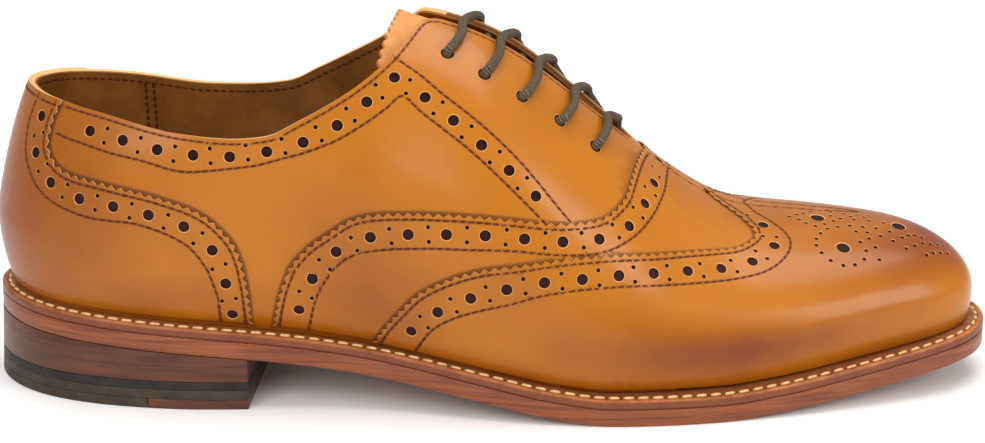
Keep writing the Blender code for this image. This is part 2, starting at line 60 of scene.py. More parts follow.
# The shoe's own shape, in mm: x from the back of the heel, y minus on the outer side
lastShape = {
    "outline": [
        (0, 0), (11, -23), (40, -36.5), (75, -39.5), (112, -39.5), (150, -46.8), (188, -51), (235, -43),
        (275, -28.3), (301, -9.5), (302.5, 9), (293, 26), (269, 41.5), (230, 50.5), (190, 47.5),
        (145, 36), (103, 31.5), (65, 33.5), (32, 32), (9, 20)],
    # x, height of the sole's underside
    "underside": [
        (0, 21), (40, 18.3), (80, 15.5), (115, 11.2), (150, 5.4), (173, 1.4), (188, 0), (220, 0),
        (238, 1.4), (258, 4), (285, 7.8), (304, 10.6)],
    # x, inset of the upper's foot, swell past it, height of the widest line
    "sides": [
        (0, 4, 3, 23), (60, 5.5, 4, 17), (110, 5.2, 5, 21), (200, 6.3, 2.4, 14), (262, 6.5, 2.6, 12.5),
        (304, 5.2, 0.6, 9)],
    # x, ridge height, ridge y, fullness of the side, fullness of the top
    "sections": [
        (36, 112, 0.5, 1.15, 2.4), (62, 114, 1.5, 2.8, 1.75), (90, 137, 2, 3.4, 2), (122, 118.4, 2, 2.8, 1.6),
        (150, 107.2, 1.5, 2.6, 1.75), (185, 81, 3, 1.8, 1.8), (205, 63.5, 4.5, 1.65, 1.75),
        (228, 51, 7.5, 1.9, 1.85), (248, 48.5, 9.5, 1.9, 1.9), (262, 47, 10, 2.05, 1.85)],
    # x at a rib's foot, x where it meets the ridge
    "fans": [(0, 35), (30, 43.5), (62, 66), (95, 96), (150, 150), (228, 227), (255, 250), (280, 260), (304, 264)],
    # x, height of the topline
    "collar": [
        (11, 91.5), (37, 87.6), (62, 83.2), (76, 82.5), (87, 83.4), (96, 87.6), (105, 92.3), (114, 97.5),
        (122, 103.2), (127, 107.8), (134, 116)],
    # x, half of the throat's width
    "gaps": [(120, 8.6), (150, 8.4), (168, 6.8), (178, 5.4), (190, 3.6), (196.5, 0), (304, 0)],
    "clear": 0.3,
    "soleThick": 5.0,
    "weltThick": 3.0,
    "widestUp": 0.2,
    "heelFlare": 1.2,
    "breastX": 80.0,
    "heelLayers": (3.0, 5.9, 8.5),
    "insertBackX": 50.0,
}
mmPerWay = 320    # about the length along the foot from heel to toe


def smoothStep(share):
    return share * share * (3 - 2 * share)


def unit(vectors):
    return vectors / np.linalg.norm(vectors, axis=1)[:, None]


def runAlong(points):
    # distance along a line at each of its points
    return np.concatenate([[0], np.cumsum(np.linalg.norm(np.diff(points, axis=0), axis=1))])


def pointsAt(stops, run, points):
    return np.column_stack([np.interp(stops, run, column) for column in np.asarray(points).T])


def smoothColumn(rows, column, x):
    # monotone cubic through one column of a table
    xs = np.array([row[0] for row in rows], float)
    ys = np.array([row[column] for row in rows], float)
    gap = np.diff(xs)
    slope = np.diff(ys) / gap
    bend = np.zeros(len(xs))
    same = slope[:-1] * slope[1:] > 0
    first, second = 2 * gap[1:] + gap[:-1], gap[1:] + 2 * gap[:-1]
    bend[1:-1][same] = (first + second)[same] / (first[same] / slope[:-1][same] + second[same] / slope[1:][same])
    bend[0], bend[-1] = slope[0], slope[-1]
    x = np.clip(np.asarray(x, float), xs[0], xs[-1])
    k = np.clip(np.searchsorted(xs, x, side="right") - 1, 0, len(xs) - 2)
    t = (x - xs[k]) / gap[k]
    return ((2 * t**3 - 3 * t**2 + 1) * ys[k] + (t**3 - 2 * t**2 + t) * gap[k] * bend[k]
            + (3 * t**2 - 2 * t**3) * ys[k + 1] + (t**3 - t**2) * gap[k] * bend[k + 1])


def closedCurve(rows, count):
    # natural closed cubic through the outline's points
    points = np.asarray(rows, float)
    size = len(points)
    gap = np.linalg.norm(np.roll(points, -1, 0) - points, axis=1)
    left, right = np.zeros((size, size)), np.zeros((size, 2))
    for k in range(size):
        after = (k + 1) % size
        left[k, k - 1] += gap[k - 1]
        left[k, k] += 2 * (gap[k - 1] + gap[k])
        left[k, after] += gap[k]
        right[k] = 6 * ((points[after] - points[k]) / gap[k] - (points[k] - points[k - 1]) / gap[k - 1])
    bend = np.linalg.solve(left, right)
    run = np.concatenate([[0], np.cumsum(gap)])
    stops = np.linspace(0, run[-1], count, endpoint=False)
    k = np.clip(np.searchsorted(run, stops, side="right") - 1, 0, size - 1)
    after = (k + 1) % size
    step = gap[k][:, None]
    ahead, behind = (run[k + 1] - stops)[:, None], (stops - run[k])[:, None]
    return ((bend[k] * ahead**3 + bend[after] * behind**3) / (6 * step)
            + (points[k] / step - bend[k] * step / 6) * ahead
            + (points[after] / step - bend[after] * step / 6) * behind)


edge = closedCurve(lastShape["outline"], 1440)
edgeStep = np.roll(edge, -1, 0) - np.roll(edge, 1, 0)
edgeOut = np.column_stack([edgeStep[:, 1], -edgeStep[:, 0]]) / np.linalg.norm(edgeStep, axis=1)[:, None]
edgeOut *= -np.sign(edgeOut[0, 0])
edgeRun = runAlong(np.concatenate([edge, edge[:1]]))
toeRun = edgeRun[int(edge[:, 0].argmax())]
middle = (edge.min(0) - np.array([lastShape["heelFlare"], 0]) + edge.max(0)) / 2


def toRow(points):
    # mm of the shoe's own frame to metres of the row's frame
    points = np.asarray(points, float)
    return (points - np.array([middle[0], middle[1], 0])) * mm


def wayAndSide(around):
    # around runs 0 at the heel, 1 at the toe and on to 2 back at the heel
    around = np.mod(around, 2)
    return np.where(around <= 1, around, 2 - around), np.where(around <= 1, -1.0, 1.0)


def edgePoint(way, side, inset):
    run = np.where(side < 0, way * toeRun, edgeRun[-1] - way * (edgeRun[-1] - toeRun))
    k = np.clip(np.searchsorted(edgeRun, run, side="right") - 1, 0, len(edge) - 1)
    after = (k + 1) % len(edge)
    share = ((run - edgeRun[k]) / (edgeRun[k + 1] - edgeRun[k]))[..., None]
    point = edge[k] * (1 - share) + edge[after] * share
    out = edgeOut[k] * (1 - share) + edgeOut[after] * share
    return point - out * np.asarray(inset(point[..., 0]))[..., None]


def flush(x):
    return np.zeros_like(x)


def footInset(x):
    return smoothColumn(lastShape["sides"], 1, x)


def widestInset(x):
    return smoothColumn(lastShape["sides"], 1, x) - smoothColumn(lastShape["sides"], 2, x)


def soleHeight(x):
    return smoothColumn(lastShape["underside"], 1, x)


def ribPoint(around, up):
    # point of the last in mm: up 0 at the welt, 1 on the ridge
    around, up = np.broadcast_arrays(np.asarray(around, float), np.asarray(up, float))
    way, side = wayAndSide(around)
    foot = edgePoint(way, side, footInset)
    wide = edgePoint(way, side, widestInset)
    other = edgePoint(way, -side, widestInset)
    spineX = smoothColumn(lastShape["fans"], 1, (wide[..., 0] + other[..., 0]) / 2)
    spine = np.stack([spineX, smoothColumn(lastShape["sections"], 2, spineX)], -1)
    footZ = soleHeight(foot[..., 0]) + lastShape["soleThick"] + lastShape["weltThick"] + lastShape["clear"]
    wideZ = footZ + smoothColumn(lastShape["sides"], 3, wide[..., 0])
    ridgeZ = smoothColumn(lastShape["sections"], 1, spineX)
    low = np.clip(up / lastShape["widestUp"], 0, 1)
    turn = np.clip((up - lastShape["widestUp"]) / (1 - lastShape["widestUp"]), 0, 1) * math.pi / 2
    across = np.maximum(np.cos(turn), 0) ** (2 / smoothColumn(lastShape["sections"], 4, spineX))
    height = np.sin(turn) ** (2 / smoothColumn(lastShape["sections"], 3, spineX))
    below = foot + (wide - foot) * np.sin(low * math.pi / 2)[..., None]
    above = spine + (wide - spine) * across[..., None]
    isAbove = up > lastShape["widestUp"]
    plan = np.where(isAbove[..., None], above, below)
    z = np.where(isAbove, wideZ + (ridgeZ - wideZ) * height, footZ + (wideZ - footZ) * low)
    return np.concatenate([plan, z[..., None]], -1)


ribWays, ribUps, ribShares = np.linspace(0, 1, 401), np.linspace(0, 1, 801), np.linspace(0, 1, 401)
shareTables, upTables, ribLengths = {}, {}, {}
for side in (-1, 1):
    ribs = ribPoint((ribWays if side < 0 else 2 - ribWays)[:, None], ribUps[None, :])
    lengths = np.cumsum(np.linalg.norm(np.diff(ribs, axis=1), axis=2), axis=1)
    lengths = np.concatenate([np.zeros((len(ribWays), 1)), lengths], 1)
    ribLengths[side] = lengths[:, -1]
    shareTables[side] = lengths / lengths[:, -1:]
    upTables[side] = np.array([np.interp(ribShares, row, ribUps) for row in shareTables[side]])


def tableAt(tables, around, second):
    # value between the entries of a table of ribs, for each side
    way, side = wayAndSide(around)
    value = np.zeros(np.shape(way))
    for which in (-1, 1):
        table = tables[which]
        rows, columns = table.shape
        a, b = way * (rows - 1), np.clip(second, 0, 1) * (columns - 1)
        i, j = np.minimum(a.astype(int), rows - 2), np.minimum(b.astype(int), columns - 2)
        fa, fb = a - i, b - j
        here = ((table[i, j] * (1 - fb) + table[i, j + 1] * fb) * (1 - fa)
                + (table[i + 1, j] * (1 - fb) + table[i + 1, j + 1] * fb) * fa)
        value = np.where(side == which, here, value)
    return value


def lastPoint(around, share):
    # point of the last in mm: share 0 at the welt, 1 on the ridge, even along the rib
    around, share = np.broadcast_arrays(np.asarray(around, float), np.asarray(share, float))
    points = ribPoint(around, tableAt(upTables, around, share))
    near = poleShare(points)
    points[..., 2] += near * (poleTerms(points) @ pole["weights"] - points[..., 2])
    return points


def poleTerms(plan):
    x, y = plan[..., 0] - pole["centre"][0], plan[..., 1] - pole["centre"][1]
    return np.stack([np.ones_like(x), x, y, x * x, x * y, y * y], -1)


def poleShare(plan):
    # 1 at the meeting of the toe's ribs, 0 beyond its reach
    away = np.linalg.norm(plan[..., :2] - pole["centre"], axis=-1)
    return smoothStep(np.clip((pole["reach"] - away) / (pole["reach"] - pole["flat"]), 0, 1))


pole = {"centre": ribPoint(1.0, 1.0)[:2], "reach": 17.0, "flat": 4.0, "weights": None}
aroundPole = ribPoint(np.linspace(0.6, 1.4, 161)[:, None], np.linspace(0.5, 1, 121)[None, :]).reshape(-1, 3)
away = np.linalg.norm(aroundPole[:, :2] - pole["centre"], axis=1)
aroundPole = aroundPole[(away < pole["reach"]) & (away > pole["flat"])]
pole["weights"] = np.linalg.lstsq(poleTerms(aroundPole), aroundPole[:, 2], rcond=None)[0]


def toShare(places):
    # given (around, up) as (around, share)
    places = np.asarray(places, float).reshape(-1, 2)
    return np.column_stack([places[:, 0], tableAt(shareTables, places[:, 0], places[:, 1])])


def fold(places):
    # a place past the ridge comes down the other side
    places = np.array(places, float).reshape(-1, 2)
    over = places[:, 1] > 1
    places[over, 0] = 2 - places[over, 0]
    places[over, 1] = 2 - places[over, 1]
    places[:, 1] = np.maximum(places[:, 1], 0)
    return places


def slopes(places):
    # change of the point for each unit of around and of share, and the normal
    step, crest = 0.004, 0.985
    around, up = places[:, 0], np.clip(places[:, 1], step, crest)
    along = (lastPoint(around + step, up) - lastPoint(around - step, up)) / (2 * step)
    upward = (lastPoint(around, up + step) - lastPoint(around, up - step)) / (2 * step)
    return along, upward, unit(np.cross(along, upward))


ridgeBlend = 0.03    # share below the ridge in which the normals of the two sides meet


def normalAt(places):
    # at the ridge both sides share one normal
    _, _, near = slopes(places)
    _, _, far = slopes(np.column_stack([2 - places[:, 0], places[:, 1]]))
    share = 0.5 + 0.5 * np.clip((1 - places[:, 1]) / ridgeBlend, 0, 1)[:, None]
    normal = unit(near * share + far * (1 - share))
    points = lastPoint(places[:, 0], places[:, 1])
    x, y = points[:, 0] - pole["centre"][0], points[:, 1] - pole["centre"][1]
    weights = pole["weights"]
    over = np.column_stack([-(weights[1] + 2 * weights[3] * x + weights[4] * y),
                            -(weights[2] + weights[4] * x + 2 * weights[5] * y), np.ones(len(x))])
    close = poleShare(points)[:, None]
    return unit(normal * (1 - close) + unit(over) * close)


# mm added behind the toe, between two ways, and over the instep
leatherLift = {"back": 0.9, "first": 0.5, "last": 0.75, "instep": 1.2, "instepWay": 0.5, "instepReach": 0.085,
               "instepLow": 0.4, "instepRise": 0.4}


def lifted(places, height):
    # points in mm at a height over the last; the leather stands a little higher behind the toe
    places = fold(places)
    way, _ = wayAndSide(places[:, 0])
    share = np.clip((leatherLift["last"] - way) / (leatherLift["last"] - leatherLift["first"]), 0, 1)
    high = np.clip((places[:, 1] - leatherLift["instepLow"]) / leatherLift["instepRise"], 0, 1)
    instep = np.exp(-((way - leatherLift["instepWay"]) / leatherLift["instepReach"]) ** 2)
    lift = leatherLift["back"] * smoothStep(share) + leatherLift["instep"] * instep * smoothStep(high)
    height = np.broadcast_to(np.asarray(height, float), (len(places),)) + lift
    return lastPoint(places[:, 0], places[:, 1]) + normalAt(places) * height[:, None]


def surface(places, height):
    return toRow(lifted(places, height))


def nudge(places, moves):
    # places moved by steps in mm along the surface
    places = np.array(places, float)
    goal = lastPoint(places[:, 0], places[:, 1]) + moves
    for _ in range(3):
        along, upward, _ = slopes(places)
        left = goal - lastPoint(places[:, 0], places[:, 1])
        aa, ab, bb = (along * along).sum(1), (along * upward).sum(1), (upward * upward).sum(1)
        ra, rb = (along * left).sum(1), (upward * left).sum(1)
        det = aa * bb - ab * ab + 1e-6
        change = np.column_stack([(ra * bb - rb * ab) / det, (rb * aa - ra * ab) / det])
        places = fold(places + np.clip(change, -0.03, 0.03))
    return places


def lineFrame(places):
    # direction along a line of places and direction to its left, on the surface
    along = np.gradient(lastPoint(places[:, 0], places[:, 1]), axis=0)
    along /= np.linalg.norm(along, axis=1)[:, None] + 1e-9
    return along, np.cross(normalAt(places), along)


def lineRun(places):
    return runAlong(lastPoint(places[:, 0], places[:, 1]))


def evenLine(places, spacing, count=None):
    # places at an even spacing in mm along a line
    run = lineRun(places)
    count = count or max(int(round(run[-1] / spacing)), 1) + 1
    return pointsAt(np.linspace(0, run[-1], count), run, places)


def smoothLine(rows, spacing=0.8):
    # soft curve through given points (way, up)
    points = toShare(rows)
    run = runAlong(points * np.array([mmPerWay, 120]))
    table = [(run[k], *points[k]) for k in range(len(points))]
    stops = np.linspace(0, run[-1], int(run[-1] / spacing) + 2)
    return np.column_stack([smoothColumn(table, 1, stops), smoothColumn(table, 2, stops)])


def shiftLine(places, distance):
    _, left = lineFrame(places)
    return nudge(places, left * distance)


def mirrorLine(places):
    # the same line on the inner side
    return np.column_stack([2 - places[:, 0], places[:, 1]])


def topOfRib(ways, side):
    # share of the way up at which the upper ends, for many ribs of one side
    ups = np.linspace(0.2, 1, 1601)
    around = ways if side < 0 else 2 - ways
    points = ribPoint(np.asarray(around)[:, None], ups[None, :])
    x, y, z = points[..., 0], points[..., 1], points[..., 2]
    collar = lastShape["collar"]
    over = (z >= smoothColumn(collar, 1, x)) & (x <= collar[-1][0])
    over |= (np.abs(y - y[:, -1:]) < smoothColumn(lastShape["gaps"], 1, x)) & (x > lastShape["gaps"][0][0])
    first = over.argmax(1)
    return toShare(np.column_stack([around, np.where(over.any(1), ups[first], 1.0)]))[:, 1]


facingCorner = {"way": 0.458, "reach": 0.03}    # where the topline is rounded
topWays = np.linspace(0, 0.68, 341)
topShares = {side: topOfRib(topWays, side) for side in (-1, 1)}
for side in (-1, 1):
    fine = np.convolve(np.pad(topShares[side], 2, mode="edge"), np.ones(5) / 5, mode="valid")
    soft = np.convolve(np.pad(topShares[side], 7, mode="edge"), np.ones(15) / 15, mode="valid")
    corner = np.exp(-((topWays - facingCorner["way"]) / facingCorner["reach"]) ** 2)
    topShares[side] = fine * (1 - corner) + soft * corner


def topUp(around):
    way, side = wayAndSide(around)
    outer, inner = np.interp(way, topWays, topShares[-1]), np.interp(way, topWays, topShares[1])
    return np.where(side < 0, outer, inner)


# Style lines of the outer side, as (way, up); the inner side repeats them
styleLines = {
    "counterEdge": [
        (0.293, 0.016), (0.292, 0.115), (0.288, 0.201), (0.282, 0.210), (0.270, 0.227), (0.256, 0.249),
        (0.236, 0.278), (0.211, 0.307), (0.186, 0.339), (0.159, 0.382), (0.128, 0.426), (0.110, 0.463),
        (0.100, 0.515), (0.101, 0.564), (0.106, 0.602), (0.109, 0.64), (0.111, 0.68)],
    "counterHoles": [
        (0.082, 0.577), (0.084, 0.496), (0.106, 0.415), (0.138, 0.360), (0.172, 0.315), (0.205, 0.275),
        (0.235, 0.247), (0.260, 0.214), (0.272, 0.173), (0.276, 0.052)],
    "counterInner": [
        (0.067, 0.66), (0.062, 0.571), (0.067, 0.500), (0.083, 0.428), (0.103, 0.374), (0.129, 0.332),
        (0.160, 0.294), (0.188, 0.269), (0.215, 0.244), (0.237, 0.223), (0.251, 0.206), (0.260, 0.181),
        (0.265, 0.098), (0.265, 0.016)],
    "vampEdge": [
        (0.310, 0.016), (0.316, 0.119), (0.327, 0.201), (0.339, 0.208), (0.361, 0.228), (0.381, 0.257),
        (0.401, 0.281), (0.432, 0.307), (0.462, 0.330), (0.492, 0.357), (0.522, 0.399), (0.552, 0.456),
        (0.572, 0.502), (0.592, 0.554), (0.599, 0.579), (0.606, 0.614), (0.614, 0.671), (0.618, 0.734),
        (0.624, 0.852), (0.631, 1.0)],
    "vampHoles": [
        (0.334, 0.087), (0.346, 0.186), (0.368, 0.214), (0.398, 0.245), (0.432, 0.271), (0.466, 0.296),
        (0.498, 0.326), (0.531, 0.374), (0.563, 0.435), (0.594, 0.505), (0.618, 0.588), (0.632, 0.699),
        (0.640, 0.809)],
    "vampInner": [
        (0.341, 0.016), (0.349, 0.127), (0.360, 0.199), (0.373, 0.208), (0.389, 0.221), (0.414, 0.238),
        (0.444, 0.257), (0.485, 0.286), (0.524, 0.335), (0.554, 0.386), (0.584, 0.446), (0.604, 0.495),
        (0.622, 0.564), (0.634, 0.634), (0.644, 0.724), (0.650, 0.819), (0.653, 1.0)],
    "capEdge": [
        (0.396, 0.016), (0.407, 0.077), (0.420, 0.136), (0.437, 0.201), (0.454, 0.216), (0.472, 0.236),
        (0.492, 0.260), (0.523, 0.307), (0.553, 0.373), (0.583, 0.440), (0.624, 0.518), (0.662, 0.586),
        (0.698, 0.645), (0.716, 0.675), (0.729, 0.713), (0.735, 0.748), (0.734, 0.785), (0.728, 0.830),
        (0.719, 0.875), (0.708, 0.912), (0.694, 0.95), (0.688, 1.0)],
    "capHoles": [
        (0.431, 0.087), (0.454, 0.169), (0.485, 0.215), (0.518, 0.256), (0.548, 0.314), (0.580, 0.378),
        (0.610, 0.433), (0.643, 0.489), (0.674, 0.530), (0.707, 0.571), (0.738, 0.627), (0.755, 0.717),
        (0.744, 0.823), (0.719, 0.907)],
    "capInner": [
        (0.432, 0.016), (0.450, 0.110), (0.469, 0.168), (0.490, 0.203), (0.516, 0.227), (0.545, 0.280),
        (0.574, 0.340), (0.604, 0.392), (0.645, 0.452), (0.677, 0.486), (0.714, 0.525), (0.743, 0.563),
        (0.759, 0.613), (0.769, 0.685), (0.770, 0.721), (0.765, 0.777), (0.756, 0.829), (0.748, 0.866),
        (0.738, 0.91), (0.728, 1.0)],
    "bandHoles": [
        (0.146, 0.516), (0.183, 0.451), (0.216, 0.399), (0.249, 0.355), (0.280, 0.313), (0.311, 0.303),
        (0.342, 0.333), (0.370, 0.400), (0.393, 0.490), (0.415, 0.587)],
    "bandInner": [
        (0.106, 0.533), (0.112, 0.525), (0.141, 0.488), (0.169, 0.438), (0.198, 0.390), (0.249, 0.323),
        (0.298, 0.286), (0.328, 0.300), (0.361, 0.350), (0.394, 0.446), (0.410, 0.502), (0.424, 0.549),
        (0.427, 0.546), (0.438, 0.528), (0.452, 0.513), (0.481, 0.486), (0.507, 0.463), (0.537, 0.447),
        (0.552, 0.440)],
    "strapHoles": [(0.415, 0.587), (0.441, 0.568), (0.466, 0.539), (0.491, 0.512), (0.514, 0.496), (0.538, 0.487)],
    "strapUpper": [
        (0.412, 0.648), (0.437, 0.623), (0.455, 0.597), (0.491, 0.561), (0.526, 0.535), (0.562, 0.501),
        (0.574, 0.488)],
}
lines = {name: smoothLine(rows) for name, rows in styleLines.items()}
print("last and style lines ready")

# Materials


def newMaterial(name):
    made = bpy.data.materials.new(name)
    made.use_nodes = True
    nodes = made.node_tree.nodes
    return made, nodes, made.node_tree.links, nodes["Principled BSDF"]


def newGroup(name, sockets):
    # sockets are rows of (side, kind, names)
    group = bpy.data.node_groups.new(name, "ShaderNodeTree")
    for side, kind, names in sockets:
        for socket in names:
            group.interface.new_socket(socket, in_out=side, socket_type="NodeSocket" + kind)
    return group, group.nodes, group.nodes.new("NodeGroupInput"), group.nodes.new("NodeGroupOutput")


def addNode(nodes, kind, place, **values):
    node = nodes.new(kind)
    node.location = place
    for name, value in values.items():
        if name in node.inputs:
            node.inputs[name].default_value = value
        else:
            setattr(node, name, value)
    return node


def addMath(nodes, place, operation, second=None, clamp=False):
    node = addNode(nodes, "ShaderNodeMath", place, operation=operation, use_clamp=clamp)
    if second is not None:
        node.inputs[1].default_value = second
    return node


def addRange(nodes, place, low=0.0, high=1.0, toLow=0.0, toHigh=1.0):
    limits = {"From Min": low, "From Max": high, "To Min": toLow, "To Max": toHigh}
    return addNode(nodes, "ShaderNodeMapRange", place, **limits)


def addMix(nodes, place, *colours):
    # inputs 6 and 7 of a colour mix are its two colours
    node = addNode(nodes, "ShaderNodeMix", place, data_type="RGBA")
    for k, colour in enumerate(colours):
        node.inputs[6 + k].default_value = colour
    return node


def connect(links, rows):
    # rows of (node, output, node, input)
    for source, output, target, entry in rows:
        links.new(source.outputs[output], target.inputs[entry])


def setInputs(node, values):
    for name, value in values.items():
        node.inputs[name].default_value = value


def srgb(red, green, blue):
    # colour given 0 to 255, as Blender's linear colour
    return tuple(((c / 255 + 0.055) / 1.055) ** 2.4 if c > 10 else c / 3295 for c in (red, green, blue)) + (1,)


def makeGrainGroup():
    # fine pores and soft wrinkles of leather, as a height
    group, nodes, entry, leave = newGroup("leather grain", [
        ("INPUT", "Float", ("Pore size", "Softness")), ("OUTPUT", "Float", ("Height", "Cloud"))])
    coords = addNode(nodes, "ShaderNodeTexCoord", (-800, 0))
    pores = addNode(nodes, "ShaderNodeTexVoronoi", (-500, 200), feature="SMOOTH_F1", Smoothness=0.4)
    fine = addNode(nodes, "ShaderNodeTexNoise", (-500, -50), Detail=3.0, Roughness=0.6)
    cloud = addNode(nodes, "ShaderNodeTexNoise", (-500, -300), Scale=38.0, Detail=3.0, Roughness=0.55)
    part = addMath(nodes, (-650, 0), "MULTIPLY")
    both = addMath(nodes, (-200, 100), "MULTIPLY_ADD", 0.6)
    connect(group.links, [
        (entry, "Pore size", pores, "Scale"), (entry, "Pore size", part, 0), (entry, "Softness", part, 1),
        (part, 0, fine, "Scale"), (coords, "Object", pores, "Vector"), (coords, "Object", fine, "Vector"),
        (coords, "Object", cloud, "Vector"), (pores, "Distance", both, 0), (fine, "Fac", both, 2),
        (both, 0, leave, "Height"), (cloud, "Fac", leave, "Cloud")])
    return group


def makeFinishAndShadeGroup():
    # polished colour: bright tan, hand-burnished brown mixed with painted shade, painted shade in creases and
    # hollows, and pale cut edges
    group, nodes, entry, leave = newGroup("leather finish", [
        ("INPUT", "Color", ("Tan", "Burnish and shade colour", "Dark colour", "Cut edge and highlight colour")), ("INPUT", "Float", ("Cloud",)),
        ("OUTPUT", "Color", ("Colour",)), ("OUTPUT", "Float", ("Roughness", "Polish"))])
    mask = addNode(nodes, "ShaderNodeAttribute", (-900, 0), attribute_name="finishAndShade")
    parts = addNode(nodes, "ShaderNodeSeparateColor", (-700, 0))
    wander = addRange(nodes, (-700, -250), 0.3, 0.7, -0.13, 0.13)
    burnishAndShadeMix = addMath(nodes, (-450, -100), "ADD", clamp=True)
    burntAndShaded, darkened, cut = (addMix(nodes, (x, 100)) for x in (-250, 0, 250))
    dull = addMath(nodes, (0, -200), "MAXIMUM")
    rough = addRange(nodes, (250, -200), toLow=0.38, toHigh=0.8)
    shine = addRange(nodes, (250, -450), toLow=0.3, toHigh=0.0)
    connect(group.links, [
        (mask, "Color", parts, "Color"), (entry, "Cloud", wander, "Value"),
        (parts, "Blue", burnishAndShadeMix, 0), (wander, "Result", burnishAndShadeMix, 1),
        (burnishAndShadeMix, 0, burntAndShaded, "Factor"), (entry, "Tan", burntAndShaded, 6), (entry, "Burnish and shade colour", burntAndShaded, 7),
        (parts, "Green", darkened, "Factor"), (burntAndShaded, 2, darkened, 6), (entry, "Dark colour", darkened, 7),
        (parts, "Red", cut, "Factor"), (darkened, 2, cut, 6), (entry, "Cut edge and highlight colour", cut, 7),
        (cut, 2, leave, "Colour"), (parts, "Red", dull, 0), (parts, "Green", dull, 1),
        (dull, 0, rough, "Value"), (rough, "Result", leave, "Roughness"),
        (dull, 0, shine, "Value"), (shine, "Result", leave, "Polish")])
    return group


grainGroup, finishAndShadeGroup = makeGrainGroup(), makeFinishAndShadeGroup()
bumpDistance = 0.0003    # metres


def addGrain(nodes, links, shader, poreSize, softness, strength):
    # the grain as a bump; its node is returned for the cloud
    grain = addNode(nodes, "ShaderNodeGroup", (-800, -350))
    grain.node_tree = grainGroup
    setInputs(grain, {"Pore size": poreSize, "Softness": softness})
    bump = addNode(nodes, "ShaderNodeBump", (-400, -350), Strength=strength, Distance=bumpDistance)
    connect(links, [(grain, "Height", bump, "Height"), (bump, "Normal", shader, "Normal")])
    return grain


leatherFinishAndShade = {
    "tan": srgb(170, 99, 0),
    # burnish colour, also used for painted shade from dark reflections
    "burnishAndShade": srgb(112, 40, 0),
    # colour of the painted shade in creases, channels, hole walls and under overlays
    "dark": srgb(40, 16, 10),
    # pale cut edge colour, on the rims of holes also a painted highlight
    "cut": srgb(226, 176, 118),
    "poreSize": 2300.0,
    "softness": 0.35,
    "bump": 0.05,
    "coatRoughness": 0.16,
}


def makeTanLeather(name, finishAndShade):
    made, nodes, links, shader = newMaterial(name)
    grain = addGrain(nodes, links, shader, finishAndShade["poreSize"], finishAndShade["softness"], finishAndShade["bump"])
    polish = addNode(nodes, "ShaderNodeGroup", (-600, 100))
    polish.node_tree = finishAndShadeGroup
    setInputs(polish, {"Tan": finishAndShade["tan"], "Burnish and shade colour": finishAndShade["burnishAndShade"], "Dark colour": finishAndShade["dark"],
                       "Cut edge and highlight colour": finishAndShade["cut"]})
    setInputs(shader, {"Coat Roughness": finishAndShade["coatRoughness"], "Coat IOR": 1.45, "Specular IOR Level": 0.22})
    connect(links, [
        (grain, "Cloud", polish, "Cloud"), (polish, "Colour", shader, "Base Color"),
        (polish, "Roughness", shader, "Roughness"), (polish, "Polish", shader, "Coat Weight")])
    return made


tanLeather = makeTanLeather("tan leather", leatherFinishAndShade)
plainGrain = {"poreSize": 1600.0, "softness": 0.5}


def makePlainLeather(name, light, dark, roughness, cloudScale, bumpStrength, coat=0.0, stained=None):
    # two tones clouded together, with a fine grain
    made, nodes, links, shader = newMaterial(name)
    coords = addNode(nodes, "ShaderNodeTexCoord", (-900, 0))
    noise = addNode(nodes, "ShaderNodeTexNoise", (-700, 100), Scale=cloudScale, Detail=5.0, Roughness=0.62)
    spread = addRange(nodes, (-500, 100), 0.32, 0.68)
    mixed = addMix(nodes, (-250, 100), dark, light)
    rough = addRange(nodes, (-250, -150), toLow=roughness + 0.08, toHigh=roughness - 0.06)
    connect(links, [
        (coords, "Object", noise, "Vector"), (noise, "Fac", spread, "Value"), (spread, "Result", mixed, "Factor"),
        (mixed, 2, shader, "Base Color"), (spread, "Result", rough, "Value"), (rough, "Result", shader, "Roughness")])
    if stained:
        # a stain where the mesh's own mask says
        mask = addNode(nodes, "ShaderNodeAttribute", (-500, 350), attribute_name="stain")
        stain = addMix(nodes, (-50, 250))
        stain.inputs[7].default_value = stained
        connect(links, [(mask, "Fac", stain, "Factor"), (mixed, 2, stain, 6), (stain, 2, shader, "Base Color")])
    setInputs(shader, {"Coat Weight": coat, "Coat Roughness": 0.25, "Specular IOR Level": 0.2})
    addGrain(nodes, links, shader, plainGrain["poreSize"], plainGrain["softness"], bumpStrength)
    return made


liningLeather = makePlainLeather("lining leather", srgb(150, 98, 44), srgb(112, 66, 24), 0.5, 60.0, 0.12)
tongueLeather = makePlainLeather("tongue leather", srgb(216, 150, 84), srgb(190, 118, 56), 0.5, 90.0, 0.2)
threadBrown = makePlainLeather("brown thread", srgb(98, 42, 20), srgb(64, 26, 12), 0.6, 900.0, 0.3)
threadCream = makePlainLeather("cream thread", srgb(240, 205, 150), srgb(206, 160, 100), 0.65, 900.0, 0.3)
insoleLeather = makePlainLeather("insole leather", srgb(150, 96, 48), srgb(120, 72, 32), 0.55, 70.0, 0.15)
weltLeather = makePlainLeather("welt leather", srgb(190, 116, 62), srgb(140, 76, 38), 0.42, 160.0, 0.3, coat=0.2,
                               stained=srgb(96, 44, 26))

# Meshes


def newThing(name, verts, faces, material, smoothAngle=None):
    # one mesh in the scene, smooth all over or only where it turns less than the angle in degrees
    mesh = bpy.data.meshes.new(name)
    mesh.from_pydata(np.asarray(verts).tolist(), [], faces)
    mesh.materials.append(material)
    thing = bpy.data.objects.new(name, mesh)
    bpy.context.scene.collection.objects.link(thing)
    if smoothAngle is None:
        mesh.shade_smooth()
        return thing
    bpy.ops.object.select_all(action="DESELECT")
    thing.select_set(True)
    bpy.context.view_layer.objects.active = thing
    bpy.ops.object.shade_smooth_by_angle(angle=math.radians(smoothAngle))
    return thing


# Sheets on the last
chartScale = np.array([mmPerWay, 125.0])    # mm of the heel's flat pattern for each unit of around and share


def heelChart(places):
    # flat pattern of the quarters and counter, joined at the heel
    return places * chartScale


